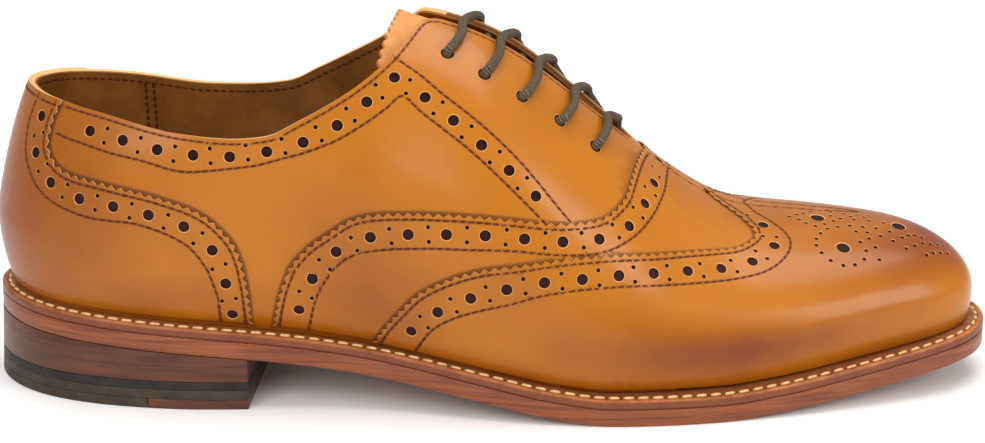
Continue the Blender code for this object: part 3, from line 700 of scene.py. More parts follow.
def heelUnchart(flat):
    return flat / chartScale


foreSpine = np.maximum.accumulate(lastPoint(ribWays, np.ones(len(ribWays)))[:, 0])
foreFan = 0.36    # part of the way over which the fore pattern's ribs turn from forward to square


def foreTurn(way):
    share = np.clip((1 - way) / foreFan, 0, 1)
    return math.pi / 2 * np.sin(share * math.pi / 2)


def foreLength(way, outer):
    return np.where(outer, np.interp(way, ribWays, ribLengths[-1]), np.interp(way, ribWays, ribLengths[1]))


def foreChart(places):
    # flat pattern of the vamp and cap, opened out either side of the ridge
    way, side = wayAndSide(places[:, 0])
    down = (1 - places[:, 1]) * foreLength(way, side < 0)
    turn = foreTurn(way)
    x = np.interp(way, ribWays, foreSpine) + np.cos(turn) * down
    return np.column_stack([x, side * np.sin(turn) * down])


def foreUnchart(flat):
    x, y = flat[:, 0], np.abs(flat[:, 1])
    low, high = np.zeros(len(x)), np.ones(len(x))
    for _ in range(32):
        way = (low + high) / 2
        turn = foreTurn(way)
        ahead = (x - np.interp(way, ribWays, foreSpine)) * np.sin(turn) - y * np.cos(turn) > 0
        low, high = np.where(ahead, way, low), np.where(ahead, high, way)
    way = (low + high) / 2
    turn = foreTurn(way)
    down = (x - np.interp(way, ribWays, foreSpine)) * np.cos(turn) + y * np.sin(turn)
    outer = flat[:, 1] < 0
    return np.column_stack([np.where(outer, way, 2 - way), 1 - down / foreLength(way, outer)])


def insideLoop(points, loop):
    # which points lie inside a closed flat loop
    x, y = points[:, 0][:, None], points[:, 1][:, None]
    x1, y1 = loop[:, 0][None, :], loop[:, 1][None, :]
    x2, y2 = np.roll(loop[:, 0], -1)[None, :], np.roll(loop[:, 1], -1)[None, :]
    crossing = (y1 > y) != (y2 > y)
    at = (x2 - x1) * (y - y1) / np.where(y2 == y1, 1e-9, y2 - y1) + x1
    return (crossing & (x < at)).sum(1) % 2 == 1


def loopArea(loop):
    # twice the area, above zero when the loop runs anticlockwise
    return loop[:, 0] @ np.roll(loop[:, 1], -1) - loop[:, 1] @ np.roll(loop[:, 0], -1)


def nearest(points, others):
    # how far each flat point is from the nearest of the others
    tree = KDTree(len(others))
    for k, other in enumerate(others):
        tree.insert((other[0], other[1], 0), k)
    tree.balance()
    return np.array([tree.find((point[0], point[1], 0))[2] for point in points])


# real burnish, with painted shade where the polished leather would mirror dark surroundings
burnishAndShadeSpots = [
    # around, up, reach along, reach up, strength
    (0.0, 0.25, 0.18, 0.45, 0.8), (0.20, 0.10, 0.12, 0.10, 0.45), (2.0, 0.25, 0.18, 0.45, 0.8),
    (0.60, 0.0, 0.35, 0.06, 0.7), (0.30, 0.0, 0.30, 0.06, 0.6), (1.40, 0.0, 0.35, 0.06, 0.7),
    (1.0, 0.0, 0.30, 0.10, 0.75), (0.70, 0.18, 0.14, 0.13, 0.85), (1.30, 0.18, 0.14, 0.13, 0.85),
    (1.0, 0.60, 0.19, 0.25, 0.95), (0.85, 0.25, 0.10, 0.12, 0.30), (1.0, 0.90, 0.32, 0.15, 0.5),
    (0.40, 0.15, 0.07, 0.12, 0.45), (1.60, 0.15, 0.07, 0.12, 0.45),
]


def burnishAndShadeAt(places):
    around, up = np.mod(places[:, 0], 2), tableAt(upTables, places[:, 0], places[:, 1])
    total = np.zeros(len(places))
    for spotAround, spotUp, reachAlong, reachUp, strength in burnishAndShadeSpots:
        away = np.hypot((around - spotAround) / reachAlong, (up - spotUp) / reachUp)
        total = np.maximum(total, strength * np.exp(-away**2))
    return total


def newSheet():
    return {"places": [], "dip": [], "dark": [], "outline": [], "holes": [], "rows": []}


def addPlaces(sheet, places, dip=0.0, dark=0.0):
    start = len(sheet["places"])
    sheet["places"] += [tuple(place) for place in places]
    sheet["dip"] += list(np.broadcast_to(dip, len(places)))
    sheet["dark"] += list(np.broadcast_to(dark, len(places)))
    return list(range(start, start + len(places)))


# mm: radius of a hole's rim on the leather, radius of its wall, how far beside the band
punches = {
    "big": {"rim": 1.9, "radius": 1.66, "sides": 18},
    "small": {"rim": 0.82, "radius": 0.66, "sides": 10, "beside": 2.15},
    "eyelet": {"rim": 2.25, "radius": 1.95, "sides": 22},
    "eye": {"rim": 2.45, "radius": 2.1, "sides": 20},
}
# mm of leather left between things: on the last for outline and hole, in the flat pattern for the others
clearance = {"outline": 0.35, "hole": 0.15, "flatHole": 0.1, "flatRow": 0.42}


def punchHole(sheet, place, kind):
    punch = punches[kind]
    point = lastPoint(*place)
    if "outline points" not in sheet:
        rim = np.array([sheet["places"][k] for k in sheet["outline"]])
        sheet["outline points"] = lastPoint(rim[:, 0], rim[:, 1])
        sheet["hole points"] = []
    if np.linalg.norm(sheet["outline points"] - point, axis=1).min() < punch["rim"] + clearance["outline"]:
        return
    if any(np.linalg.norm(other - point) < reach + punch["rim"] + clearance["hole"]
           for other, reach in sheet["hole points"]):
        return
    sheet["hole points"].append((point, punch["rim"]))
    turns = np.arange(punch["sides"]) / punch["sides"] * 2 * math.pi
    centre = np.repeat(np.array([place], float), punch["sides"], 0)
    along, _, normal = slopes(centre)
    along = unit(along)
    left = np.cross(normal, along)
    ring = along * np.cos(turns)[:, None] + left * np.sin(turns)[:, None]
    rim = addPlaces(sheet, nudge(centre, ring * punch["rim"]))
    sheet["holes"].append({"rim": rim, "inner": nudge(centre, ring * punch["radius"]), "through": kind == "eyelet"})


def punchBand(sheet, holes):
    # big holes with a pair of small ones between each two
    for place in holes:
        punchHole(sheet, place, "big")
    between = evenLine(holes, 0, 2 * len(holes) - 1)[1::2]
    _, left = lineFrame(between)
    for sign in (-1, 1):
        for place in nudge(between, left * sign * punches["small"]["beside"]):
            punchHole(sheet, place, "small")


channel = {"half": 0.65, "dip": 0.26, "sample": 1.3, "dark": 0.6, "threadDown": 0.9}
stitchRows = []


def addRow(sheet, places, top):
    # a stitched channel pressed into the leather, its middle painted darker as shade in the groove
    line = evenLine(places, channel["sample"])
    _, left = lineFrame(line)
    for offset, dip, dark in ((-1, 0, 0.0), (0, channel["dip"], channel["dark"]), (1, 0, 0.0)):
        moved = nudge(line, left * offset * channel["half"]) if offset else line
        sheet["rows"].append((moved, dip, dark))
    stitchRows.append((places, top - channel["dip"] * channel["threadDown"]))


def gimp(line, pitch=2.95, depth=1.15):
    # teeth of a pinked edge, cut in to the left of the line
    run = lineRun(line)
    count = max(int(run[-1] / pitch), 1) * 2 + 1
    even = evenLine(line, 0, count)
    _, left = lineFrame(even)
    cut = np.where(np.arange(count) % 2 == 1, depth, 0.0)
    cut[[0, -1]] = 0
    return nudge(even, left * cut[:, None])


def ringOf(sheet, hole, chart):
    return chart(np.array([sheet["places"][k] for k in hole["rim"]]))


def clearHoles(sheet, chart, loop):
    # leave out the holes that would meet the outline or one another in the flat pattern
    clear = []
    for hole in sheet["holes"]:
        ring = ringOf(sheet, hole, chart)
        centre = ring.mean(0)
        reach = np.linalg.norm(ring - centre, axis=1).max() + clearance["flatHole"]
        inward = insideLoop(ring, loop).all() and not insideLoop(loop, ring).any()
        edgeGap = np.linalg.norm(loop - centre, axis=1).min()
        apart = all(np.linalg.norm(centre - other) > reach + far for _, other, far in clear)
        if inward and edgeGap > reach and apart:
            clear.append((hole, centre, reach))
    sheet["holes"] = [hole for hole, _, _ in clear]


gridSettings = {"rowShare": 0.866, "clear": 0.55}    # row height and room round the lines, for each mm of spacing


def fillSheet(sheet, chart, unchart, loop, spacing):
    # places of the rows, then a grid of places in all that is left
    kept = [chart(np.array(sheet["places"]))]
    rings = [ringOf(sheet, hole, chart) for hole in sheet["holes"]]
    for line, dip, dark in sheet["rows"]:
        flat = chart(line)
        fine = insideLoop(flat, loop) & (nearest(flat, np.concatenate(kept)) > clearance["flatRow"])
        for ring in rings:
            fine &= ~insideLoop(flat, ring)
        addPlaces(sheet, line[fine], dip, dark)
        kept.append(flat[fine])
    low, high = loop.min(0), loop.max(0)
    rows = int((high[1] - low[1]) / (spacing * gridSettings["rowShare"])) + 1
    grid = []
    for row in range(rows + 1):
        xs = np.arange(low[0] + (row % 2) * spacing / 2, high[0], spacing)
        grid.append(np.column_stack([xs, np.full(len(xs), low[1] + row * spacing * gridSettings["rowShare"])]))
    grid = np.concatenate(grid)
    grid = grid[insideLoop(grid, loop)]
    grid = grid[nearest(grid, np.concatenate(kept)) > spacing * gridSettings["clear"]]
    for ring in rings:
        centre = ring.mean(0)
        reach = np.linalg.norm(ring - centre, axis=1).max()
        grid = grid[np.linalg.norm(grid - centre, axis=1) > reach]
    addPlaces(sheet, unchart(grid))


def cutTriangles(name, sheet, flat):
    # triangles between all the places, none of them across a hole
    pairs = [(a, b) for hole in sheet["holes"] for a, b in zip(hole["rim"], hole["rim"][1:] + hole["rim"][:1])]
    corners, _, faces, originals, *_ = delaunay_2d_cdt([Vector(p) for p in flat], pairs, [sheet["outline"]], 1, 1e-5)
    if len(corners) != len(flat):
        print(name, "has", len(corners) - len(flat), "extra corners")
    match = [group[0] if group else -1 for group in originals]
    holeOf = {k: number for number, hole in enumerate(sheet["holes"]) for k in hole["rim"]}
    kept = []
    for face in faces:
        tri = [match[k] for k in face]
        if min(tri) < 0 or len({holeOf.get(k, -1 - k) for k in tri}) == 1:
            continue
        a, b, c = (flat[k] for k in tri)
        area = (b[0] - a[0]) * (c[1] - a[1]) - (b[1] - a[1]) * (c[0] - a[0])
        kept.append(tri if area > 0 else tri[::-1])
    return kept


# Finish and shade colours are (pale cut edge, painted shade, burnish with painted shade)
sheetFinishAndShade = {"underside": (0.3, 0.3, 0.5), "collar": (0.9, 0.0, 0.5), "floor": (0, 1.0, 0.5)}
wallSettings = {
    # painted shade down the walls of the outline and the holes
    "highDark": 0.6,
    "burnishAndShade": 0.5,
    # mm from the face to the wall, paleness of the cut rim above and below (on holes partly a painted highlight),
    # painted shade at the bottom
    "outline": {"depth": 0.28, "paleRim": 0.75, "paleBelow": 0.4, "lowDark": 0.75},
    "hole": {"depth": 0.16, "paleRim": 0.42, "paleBelow": 0.0, "lowDark": 1.0},
    "floor": 0.12,       # mm of leather under a blind hole
    "collarUp": 0.008,   # share within which the outline is the topline
    "collarWay": 0.452,  # where the collar ends and the facing starts
    "footThin": 0.35,    # part of the thickness left at the foot
    "footUp": 0.10,      # share up to which it thins
}


def finishSheet(name, sheet, chart, unchart, settings, shadows=(), footTaper=True):
    # cut the flat pattern in triangles, wrap it on the last and give it a thickness
    outline = sheet["outline"]
    loop = chart(np.array([sheet["places"][k] for k in outline]))
    clearHoles(sheet, chart, loop)
    fillSheet(sheet, chart, unchart, loop, settings["spacing"])
    places = np.array(sheet["places"])
    flat = chart(places)
    count = len(places)
    taper = np.ones(count)
    if footTaper:
        thin = wallSettings["footThin"]
        taper = thin + (1 - thin) * smoothStep(np.clip(places[:, 1] / wallSettings["footUp"], 0, 1))
    baseHeight = np.full(count, float(settings["base"]))
    topHeight = baseHeight + (settings["top"] - settings["base"]) * taper
    verts = [surface(places, topHeight - np.array(sheet["dip"])), surface(places, baseHeight)]
    dark = np.array(sheet["dark"])
    for shadow in shadows:
        dark = np.maximum(dark, np.where(insideLoop(flat, chart(shadow)), overlayCover["dark"], 0))
    burnishAndShade = burnishAndShadeAt(places)
    normals = normalAt(fold(places))
    plain = (0.0, 0.0, 0.0)    # a corner without a normal of its own
    faces, finishAndShade, facing = [], [], []
    for tri in cutTriangles(name, sheet, flat):
        faces += [tri, [k + count for k in reversed(tri)]]
        finishAndShade += [(0.0, dark[k], burnishAndShade[k]) for k in tri] + [sheetFinishAndShade["underside"]] * 3
        facing += [tuple(normals[k]) for k in tri] + [plain] * 3
    collar = np.abs(places[:, 1] - topUp(places[:, 0])) < wallSettings["collarUp"]
    collar &= wayAndSide(places[:, 0])[0] < wallSettings["collarWay"]
    rings = [(outline if loopArea(loop) > 0 else outline[::-1], None, True)]
    rings += [(hole["rim"], hole["inner"], hole["through"]) for hole in sheet["holes"]]
    total = 2 * count
    for ring, inner, through in rings:
        wall = wallSettings["outline" if inner is None else "hole"]
        verts.append(surface(places[ring] if inner is None else inner, topHeight[ring] - wall["depth"]))
        size = len(ring)
        if not through:
            verts.append(surface(inner, baseHeight[ring] + wallSettings["floor"]))
        order = list(range(size))
        if inner is not None and loopArea(flat[ring]) > 0:
            order = order[::-1]
        paleRim, paleBelow = wall["paleRim"], wall["paleRim"] * wall["paleBelow"]
        for a, b in zip(order, order[1:] + order[:1]):
            ka, kb = ring[a], ring[b]
            faces.append([ka, total + a, total + b, kb])
            finishAndShade += [(paleRim, 0, burnishAndShade[ka])] * 2 + [(paleRim, 0, burnishAndShade[kb])] * 2
            if through:
                faces.append([total + a, ka + count, kb + count, total + b])
            else:
                faces.append([total + a, total + size + a, total + size + b, total + b])
            if inner is None and collar[ka] and collar[kb] and chart is heelChart:
                finishAndShade += [sheetFinishAndShade["collar"]] * 4
            else:
                # the wall is painted darker towards its bottom, as shade
                high = (paleBelow, wallSettings["highDark"], wallSettings["burnishAndShade"])
                low = (0, wall["lowDark"], wallSettings["burnishAndShade"])
                finishAndShade += [high, low, low, high]
            facing += [plain] * 8
        # a blind hole's floor is painted fully dark, as the shade inside it
        if not through:
            faces += [[total + size + n for n in order[::-1]], [ring[n] + count for n in order]]
            finishAndShade += [sheetFinishAndShade["floor"]] * (2 * size)
            facing += [plain] * (2 * size)
            total += size
        total += size
    thing = newThing(name, np.concatenate(verts), faces, tanLeather, 50)
    colours = thing.data.color_attributes.new("finishAndShade", "FLOAT_COLOR", "CORNER")
    colours.data.foreach_set("color", np.column_stack([np.array(finishAndShade, float), np.ones(len(finishAndShade))]).ravel())
    thing.data.normals_split_custom_set(facing)
    print(name, "has", len(sheet["holes"]), "holes and", len(faces), "faces")
    return thing


def joinLines(*parts):
    return np.concatenate(parts)


def sided(line, flip):
    # the line itself, or with -1 the line on the other side of the heel
    return line * np.array([flip, 1])


def footLine(first, last, share, spacing=2.6):
    count = max(int(abs(last - first) * mmPerWay / spacing), 2) + 1
    return np.column_stack([np.linspace(first, last, count), np.full(count, share)])


def topLine(first, last, spacing=2.0):
    fine = np.linspace(first, last, 600)
    return evenLine(np.column_stack([fine, topUp(fine)]), spacing)


def clipToTop(line, gap=0.004):
    # the part of a line under the topline
    return line[line[:, 1] < topUp(line[:, 0]) - gap]


overlayShadow = ((-0.3, 0.6), (0.25, 0.55), (0.6, 0.3), (0.95, 0.0))    # mm past an overlay's edge, darkness
overlayFoot = 0.016    # share at which the overlays end over the welt
overlayCover = {"past": 0.3, "dark": 0.6}    # what lies under an overlay is painted in shade, and so is this many mm past it


def addShadow(sheet, line, sign, flip=1):
    # painted shadow, with some dark burnish, in the crease beside the edge of an overlay
    line = evenLine(line, channel["sample"])
    _, left = lineFrame(line)
    for offset, dark in overlayShadow:
        sheet["rows"].append((sided(nudge(line, left * sign * offset), flip), 0.0, dark))


# Outlines of the overlays, running from the foot upwards on the outer side
counterOuter = clipToTop(lines["counterEdge"])
vampOuter, capOuter = lines["vampEdge"], lines["capEdge"]
eyelets = toShare([(0.458, 0.727), (0.490, 0.712), (0.522, 0.720), (0.555, 0.747), (0.587, 0.766)])

# Quarters: both sides in one sheet, joined at the back of the heel
quarterSettings = {
    "reach": 0.665, "top": -0.9, "base": -2.05, "spacing": 3.0,
    # the row along the topline: mm in from the edge and lower than the others, ways at its ends
    "edgeRow": 1.45, "edgeDown": 0.1, "rowFrom": 0.112, "rowTo": 0.612,
    "vampFar": ((0.9, 1.2), (0.9, 0.0)),    # places that close the vamp's outline far ahead of the quarters
}


def makeQuarters():
    sheet = newSheet()
    reach, top = quarterSettings["reach"], quarterSettings["top"]

    def frontEdge(way, shares):
        return np.column_stack([np.full(len(shares), way), shares * topUp(np.array([way]))[0]])

    sheet["outline"] = addPlaces(sheet, joinLines(
        footLine(-reach, reach, 0.0), frontEdge(reach, np.linspace(0, 1, 42)[1:-1]), topLine(reach, -reach),
        frontEdge(-reach, np.linspace(1, 0, 42)[1:-1])))
    for flip in (1, -1):
        band = evenLine(lines["bandHoles"], 0, 10)
        strap = evenLine(lines["strapHoles"], 0, 6)
        punchBand(sheet, sided(joinLines(band, strap[1:]), flip))
        for way, share in eyelets:
            punchHole(sheet, (flip * way, share), "eyelet")
        edgeRow = topLine(quarterSettings["rowFrom"], quarterSettings["rowTo"])
        addRow(sheet, sided(shiftLine(edgeRow, -quarterSettings["edgeRow"]), flip), top - quarterSettings["edgeDown"])
        addRow(sheet, sided(lines["bandInner"], flip), top)
        addRow(sheet, sided(lines["strapUpper"], flip), top)
        addShadow(sheet, counterOuter, -1, flip)
        addShadow(sheet, vampOuter, 1, flip)
    counterRim = shiftLine(counterOuter, overlayCover["past"])
    vampLoop = joinLines(shiftLine(vampOuter, -overlayCover["past"]), np.array(quarterSettings["vampFar"]))
    shadows = [joinLines(counterRim, sided(counterRim, -1)[::-1]), vampLoop, sided(vampLoop, -1)]
    return finishSheet("quarters", sheet, heelChart, heelUnchart, quarterSettings, shadows, footTaper=False)


quarters = makeQuarters()
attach(quarters, "root")
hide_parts("upper")
print("quarters cut and punched")

counterSettings = {"top": -0.1, "base": -0.86, "spacing": 3.0, "edgeRow": 2.0, "backRow": 0.1}


def makeCounter():
    sheet = newSheet()
    teeth = gimp(counterOuter)
    last = teeth[-1]
    lastUp = topUp(np.array([last[0]]))[0]
    teeth = joinLines(teeth, np.array([[last[0], lastUp]]))
    bottom = footLine(-teeth[0, 0], teeth[0, 0], overlayFoot)[1:-1]
    top = topLine(last[0], -last[0])[1:-1]
    sheet["outline"] = addPlaces(sheet, joinLines(teeth, top, sided(teeth, -1)[::-1], bottom))
    edgeRow = shiftLine(evenLine(counterOuter, 1.0), counterSettings["edgeRow"])
    for flip in (1, -1):
        punchBand(sheet, sided(evenLine(lines["counterHoles"], 0, 10), flip))
        addRow(sheet, sided(edgeRow, flip), counterSettings["top"])
        addRow(sheet, sided(clipToTop(lines["counterInner"]), flip), counterSettings["top"])
    backRow = topLine(-counterSettings["backRow"], counterSettings["backRow"])
    addRow(sheet, shiftLine(backRow, -counterSettings["edgeRow"]), counterSettings["top"])
    return finishSheet("heel_counter_leather", sheet, heelChart, heelUnchart, counterSettings)


counter = makeCounter()
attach(counter, "root")
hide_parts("counter")
print("counter cut and punched")

vampSettings = {"top": -0.1, "base": -0.86, "spacing": 3.0, "edgeRow": 2.0, "ridgeHole": (0.644, 1.0),
                "underFoot": -0.02}


def bothSides(line):
    # a line of the outer side up to the ridge and down the inner side
    far = mirrorLine(line)[::-1]
    return joinLines(line, far[1:] if line[-1, 1] >= 0.999 else far)


def foreSheet(rimLine, innerLine, holes, settings):
    # a sheet from its pinked edge forward round the toe, with its holes and its two stitched rows
    sheet = newSheet()
    teeth = gimp(rimLine[::-1])[::-1]
    bottom = footLine(2 - teeth[0, 0], teeth[0, 0], overlayFoot)[1:-1]
    sheet["outline"] = addPlaces(sheet, joinLines(bothSides(teeth), bottom))
    punchBand(sheet, bothSides(holes))
    addRow(sheet, shiftLine(evenLine(bothSides(rimLine), 1.0), -settings["edgeRow"]), settings["top"])
    addRow(sheet, bothSides(innerLine), settings["top"])
    return sheet


def makeVamp():
    holes = joinLines(evenLine(lines["vampHoles"], 0, 13), np.array([vampSettings["ridgeHole"]]))
    sheet = foreSheet(vampOuter, lines["vampInner"], holes, vampSettings)
    addShadow(sheet, bothSides(capOuter), 1)
    foot = footLine(2 - capOuter[0, 0], capOuter[0, 0], vampSettings["underFoot"])
    capLoop = joinLines(bothSides(capOuter), foot)
    return finishSheet("vamp_leather", sheet, foreChart, foreUnchart, vampSettings, [capLoop])


vamp = makeVamp()
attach(vamp, "root")
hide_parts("vamp")
print("vamp cut and punched")

capSettings = {"top": 0.55, "base": -0.06, "spacing": 3.0, "edgeRow": 2.0}
photoSize = (985, 443)

medallionPixels = {
    # pixels of the photo: three large eyes and the dots around them
    "eyes": [(843.6, 247.6), (817.2, 217.6), (898.7, 225.8)],
    "dots": [
        (821, 232.7), (816.5, 238.2), (816.9, 244.7), (821.6, 252.3), (831, 260.2), (843.2, 265.2), (854.7, 264.7),
        (864.1, 258.9), (879.8, 258.9), (866.8, 250), (875.4, 247.1), (860.3, 241.4), (869.2, 238), (867.4, 232),
        (856.3, 230.9), (880.7, 235.4), (827.2, 228.2), (824.3, 223.6), (815.8, 225.4), (806.3, 222.3),
        (798.7, 219.1), (789.2, 216), (796.1, 214.2), (803.2, 212.7), (810.5, 211.1), (819.4, 209.6),
        (830.5, 210.9), (830.3, 215.4), (840.7, 218), (833.8, 220.3), (838.1, 226.2), (849.8, 225.1),
        (853.8, 218.9), (843.8, 213.3), (856.7, 214.5),
        (862.7, 226.5), (868.7, 220.3), (869, 215.4), (876.1, 227.8), (883.6, 222.2), (889.6, 231.1), (893.7, 240.5),
        (902.3, 236.9), (908.7, 235.1), (915, 234.5), (922.1, 236.9), (915, 245.1), (906.5, 248.5), (923, 242.7),
        (930.8, 243.6), (938.3, 244), (926.8, 254.7), (933.6, 252.7), (940.8, 252.3), (948.3, 253.1)],
}


def pixelOf(points):
    # pixel of the photo at which the camera sees points in metres
    bpy.context.view_layer.update()
    seen = (points - np.array(camera.matrix_world.translation)) @ np.array(camera.matrix_world.to_3x3())
    focal = cameraSettings["lens"] / cameraSettings["sensor"] * photoSize[0]
    return np.column_stack([photoSize[0] / 2 - focal * seen[:, 0] / seen[:, 2],
                            photoSize[1] / 2 + focal * seen[:, 1] / seen[:, 2]])


capGrid = np.meshgrid(np.linspace(0.6, 1.4, 561), np.linspace(0.3, 1, 301), indexing="ij")
capGrid = np.stack(capGrid, -1).reshape(-1, 2)
capPoints = surface(capGrid, capSettings["top"])
towards = np.array(cameraSettings["place"]) - capPoints
inSight = (towards * normalAt(capGrid)).sum(1) > 0.01
capGrid, capPoints = capGrid[inSight], capPoints[inSight]
capPixels = pixelOf(capPoints)
nearPixel = 1.5    # furthest that a place may be seen from its pixel
dotGap = {"eyes": 6.0, "dots": 1.9, "eyeToDot": 3.9}    # mm between centres


def placesAtPixels(pixels, spacing):
    # places on the cap seen at the pixels, none nearer together than the spacing in mm
    found, points = [], []
    for pixel in pixels:
        away = np.hypot(*(capPixels - np.array(pixel)).T)
        best = away.argmin()
        apart = all(np.linalg.norm(capPoints[best] - point) > spacing * mm for point in points)
        if away[best] < nearPixel and apart:
            found.append(capGrid[best])
            points.append(capPoints[best])
    return np.array(found)


def makeCap():
    sheet = foreSheet(capOuter, lines["capInner"], evenLine(lines["capHoles"], 0, 14), capSettings)
    eyes = placesAtPixels(medallionPixels["eyes"], dotGap["eyes"])
    for place in eyes:
        punchHole(sheet, place, "eye")
    dots = placesAtPixels(medallionPixels["dots"], dotGap["dots"])
    eyePoints = surface(eyes, capSettings["top"])
    for place, point in zip(dots, surface(dots, capSettings["top"])):
        if np.linalg.norm(eyePoints - point, axis=1).min() > dotGap["eyeToDot"] * mm:
            punchHole(sheet, place, "small")
    return finishSheet("wing_cap_leather", sheet, foreChart, foreUnchart, capSettings)


cap = makeCap()
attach(cap, "root")
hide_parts("wing_cap")
print("wing cap cut and punched")

# Thread: one stitch modelled, then laid along every row


def modelStitch(name, sides, rings):
    bpy.ops.object.select_all(action="DESELECT")
    bpy.ops.mesh.primitive_uv_sphere_add(segments=sides, ring_count=rings, radius=1, location=(0, 0, 0))
    stitch = bpy.context.active_object
    stitch.name = name
    bpy.ops.object.mode_set(mode="EDIT")
    bpy.ops.transform.rotate(value=math.pi / 2, orient_axis="Y", center_override=(0, 0, 0))
    bpy.ops.object.mode_set(mode="OBJECT")
    verts = np.array([v.co for v in stitch.data.vertices])
    verts[:, 0] = np.sign(verts[:, 0]) * np.abs(verts[:, 0]) ** 0.6
    faces = [list(p.vertices) for p in stitch.data.polygons]
    bpy.data.objects.remove(stitch)
    return verts, faces


def placeStitches(name, thread, centre, axes, sizes, material):
    # the one modelled stitch laid at each centre, along its own three axes
    shape, shapeFaces = modelStitch(name + " one", thread["sides"], thread["rings"])
    verts = centre[:, None]
    for k in range(3):
        verts = verts + axes[k][:, None] * shape[None, :, k:k + 1] * sizes[k]
    faces = [[k + n * len(shape) for k in face] for n in range(len(centre)) for face in shapeFaces]
    print(name, "has", len(centre), "stitches")
    return newThing(name, verts.reshape(-1, 3), faces, material)


def layStitches(name, rows, thread, material):
    centres, alongs, lefts, normals = [], [], [], []
    for places, height in rows:
        run = lineRun(places)
        count = max(int(run[-1] / thread["pitch"]), 1)
        at = pointsAt((np.arange(count) + 0.5) * run[-1] / count, run, places)
        along, left = lineFrame(at) if count > 1 else lineFrame(np.repeat(at, 2, 0))
        centres.append(surface(at, height))
        alongs.append(along[:count])
        lefts.append(left[:count])
        normals.append(normalAt(fold(at)))
    centre, along, left, normal = (np.concatenate(part) for part in (centres, alongs, lefts, normals))
    turned = along * math.cos(thread["slant"]) + left * math.sin(thread["slant"])
    sizes = [thread[key] * mm for key in ("half", "radius", "height")]
    return placeStitches(name, thread, centre, (turned, np.cross(normal, turned), normal), sizes, material)


upperThread = {"pitch": 2.4, "half": 0.975, "radius": 0.42, "height": 0.336, "slant": 0.12, "sides": 6, "rings": 4}
stitching = layStitches("upper_stitching", stitchRows, upperThread, threadBrown)
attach(stitching, "root")

# Lining inside the whole upper
liningSettings = {"outer": -2.1, "inner": -2.75, "ribs": 180, "rows": 34, "openWay": 0.66}


def solidGrid(name, outer, inner, material, closed=False):
    # two grids of points joined at their rims
    rows, columns = outer.shape[:2]
    count = rows * columns
    verts = np.concatenate([outer.reshape(-1, 3), inner.reshape(-1, 3)])
    faces = []

    def at(row, column):
        return row * columns + column % columns

    spans = columns if closed else columns - 1
    for row in range(rows - 1):
        for column in range(spans):
            quad = [at(row, column), at(row, column + 1), at(row + 1, column + 1), at(row + 1, column)]
            faces.append(quad)
            faces.append([k + count for k in reversed(quad)])
    for column in range(spans):
        for row, turned in ((0, False), (rows - 1, True)):
            a, b = at(row, column), at(row, column + 1)
            quad = [b, a, a + count, b + count]
            faces.append(quad[::-1] if turned else quad)
    if not closed:
        for row in range(rows - 1):
            for column, turned in ((0, False), (columns - 1, True)):
                a, b = at(row, column), at(row + 1, column)
                quad = [a, b, b + count, a + count]
                faces.append(quad[::-1] if turned else quad)
    return newThing(name, verts, faces, material, 50)


def makeLining():
    around = np.arange(2 * liningSettings["ribs"]) / liningSettings["ribs"]
    shares = np.linspace(0, 1, liningSettings["rows"])
    tops = np.where(np.minimum(around, 2 - around) < liningSettings["openWay"], topUp(around), 1.0)
    places = np.stack([np.broadcast_to(around, (len(shares), len(around))), shares[:, None] * tops[None, :]], -1)
    flat = places.reshape(-1, 2)
    shape = (len(shares), len(around), 3)
    outer = surface(flat, liningSettings["outer"]).reshape(shape)
    inner = surface(flat, liningSettings["inner"]).reshape(shape)
    return solidGrid("lining", outer, inner, liningLeather, closed=True)


lining = makeLining()
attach(lining, "root")
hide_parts("upper")
print("lining fitted")

# Thread seen inside the collar: a row under the rim and two down each side seam
liningRows = {"rim": 0.44, "rimDown": 2.4, "seams": (-0.166, -0.174, 0.166, 0.174), "low": 0.25, "topGap": 0.02}


def makeLiningStitches():
    rim = topLine(-liningRows["rim"], liningRows["rim"])
    rows = [(shiftLine(rim, -liningRows["rimDown"]), liningSettings["inner"])]
    for around in liningRows["seams"]:
        high = topUp(np.array([around]))[0] - liningRows["topGap"]
        shares = np.linspace(liningRows["low"], high, 40)
        rows.append((np.column_stack([around - 0.01 * (high - shares) / high, shares]), liningSettings["inner"]))
    return layStitches("lining_stitching", rows, upperThread, threadBrown)


liningStitches = makeLiningStitches()
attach(liningStitches, "root")

# Tongue
tongueSettings = {
    "back": 0.408, "front": 0.638, "low": 0.6, "outer": -5.9, "inner": -7.7,
    # way added at the top edge: for a tooth, at the middle and less for each span to the side
    "tooth": 0.003, "middle": 0.011, "side": 0.018,
}


def makeTongue():
    count, across = 70, 41
    ways = np.linspace(tongueSettings["back"], tongueSettings["front"], count)
    spans = np.linspace(-1, 1, across)
    rows = []
    for k, way in enumerate(ways):
        places = []
        for n, span in enumerate(spans):
            up = 1 - abs(span) * (1 - tongueSettings["low"])
            tooth = tongueSettings["tooth"] if k == 0 and n % 2 else 0
            lean = tongueSettings["middle"] - tongueSettings["side"] * abs(span)
            here = way + tooth + lean * (1 - k / (count - 1))
            places.append((here if span <= 0 else 2 - here, up))
        rows.append(places)
    places = np.array(rows)
    flat = toShare(places.reshape(-1, 2))
    shape = (count, across, 3)
    outer = surface(flat, tongueSettings["outer"]).reshape(shape)
    inner = surface(flat, tongueSettings["inner"]).reshape(shape)
    return solidGrid("tongue_leather_piece", outer[::-1], inner[::-1], tongueLeather)


tongue = makeTongue()
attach(tongue, "root")
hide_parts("tongue")

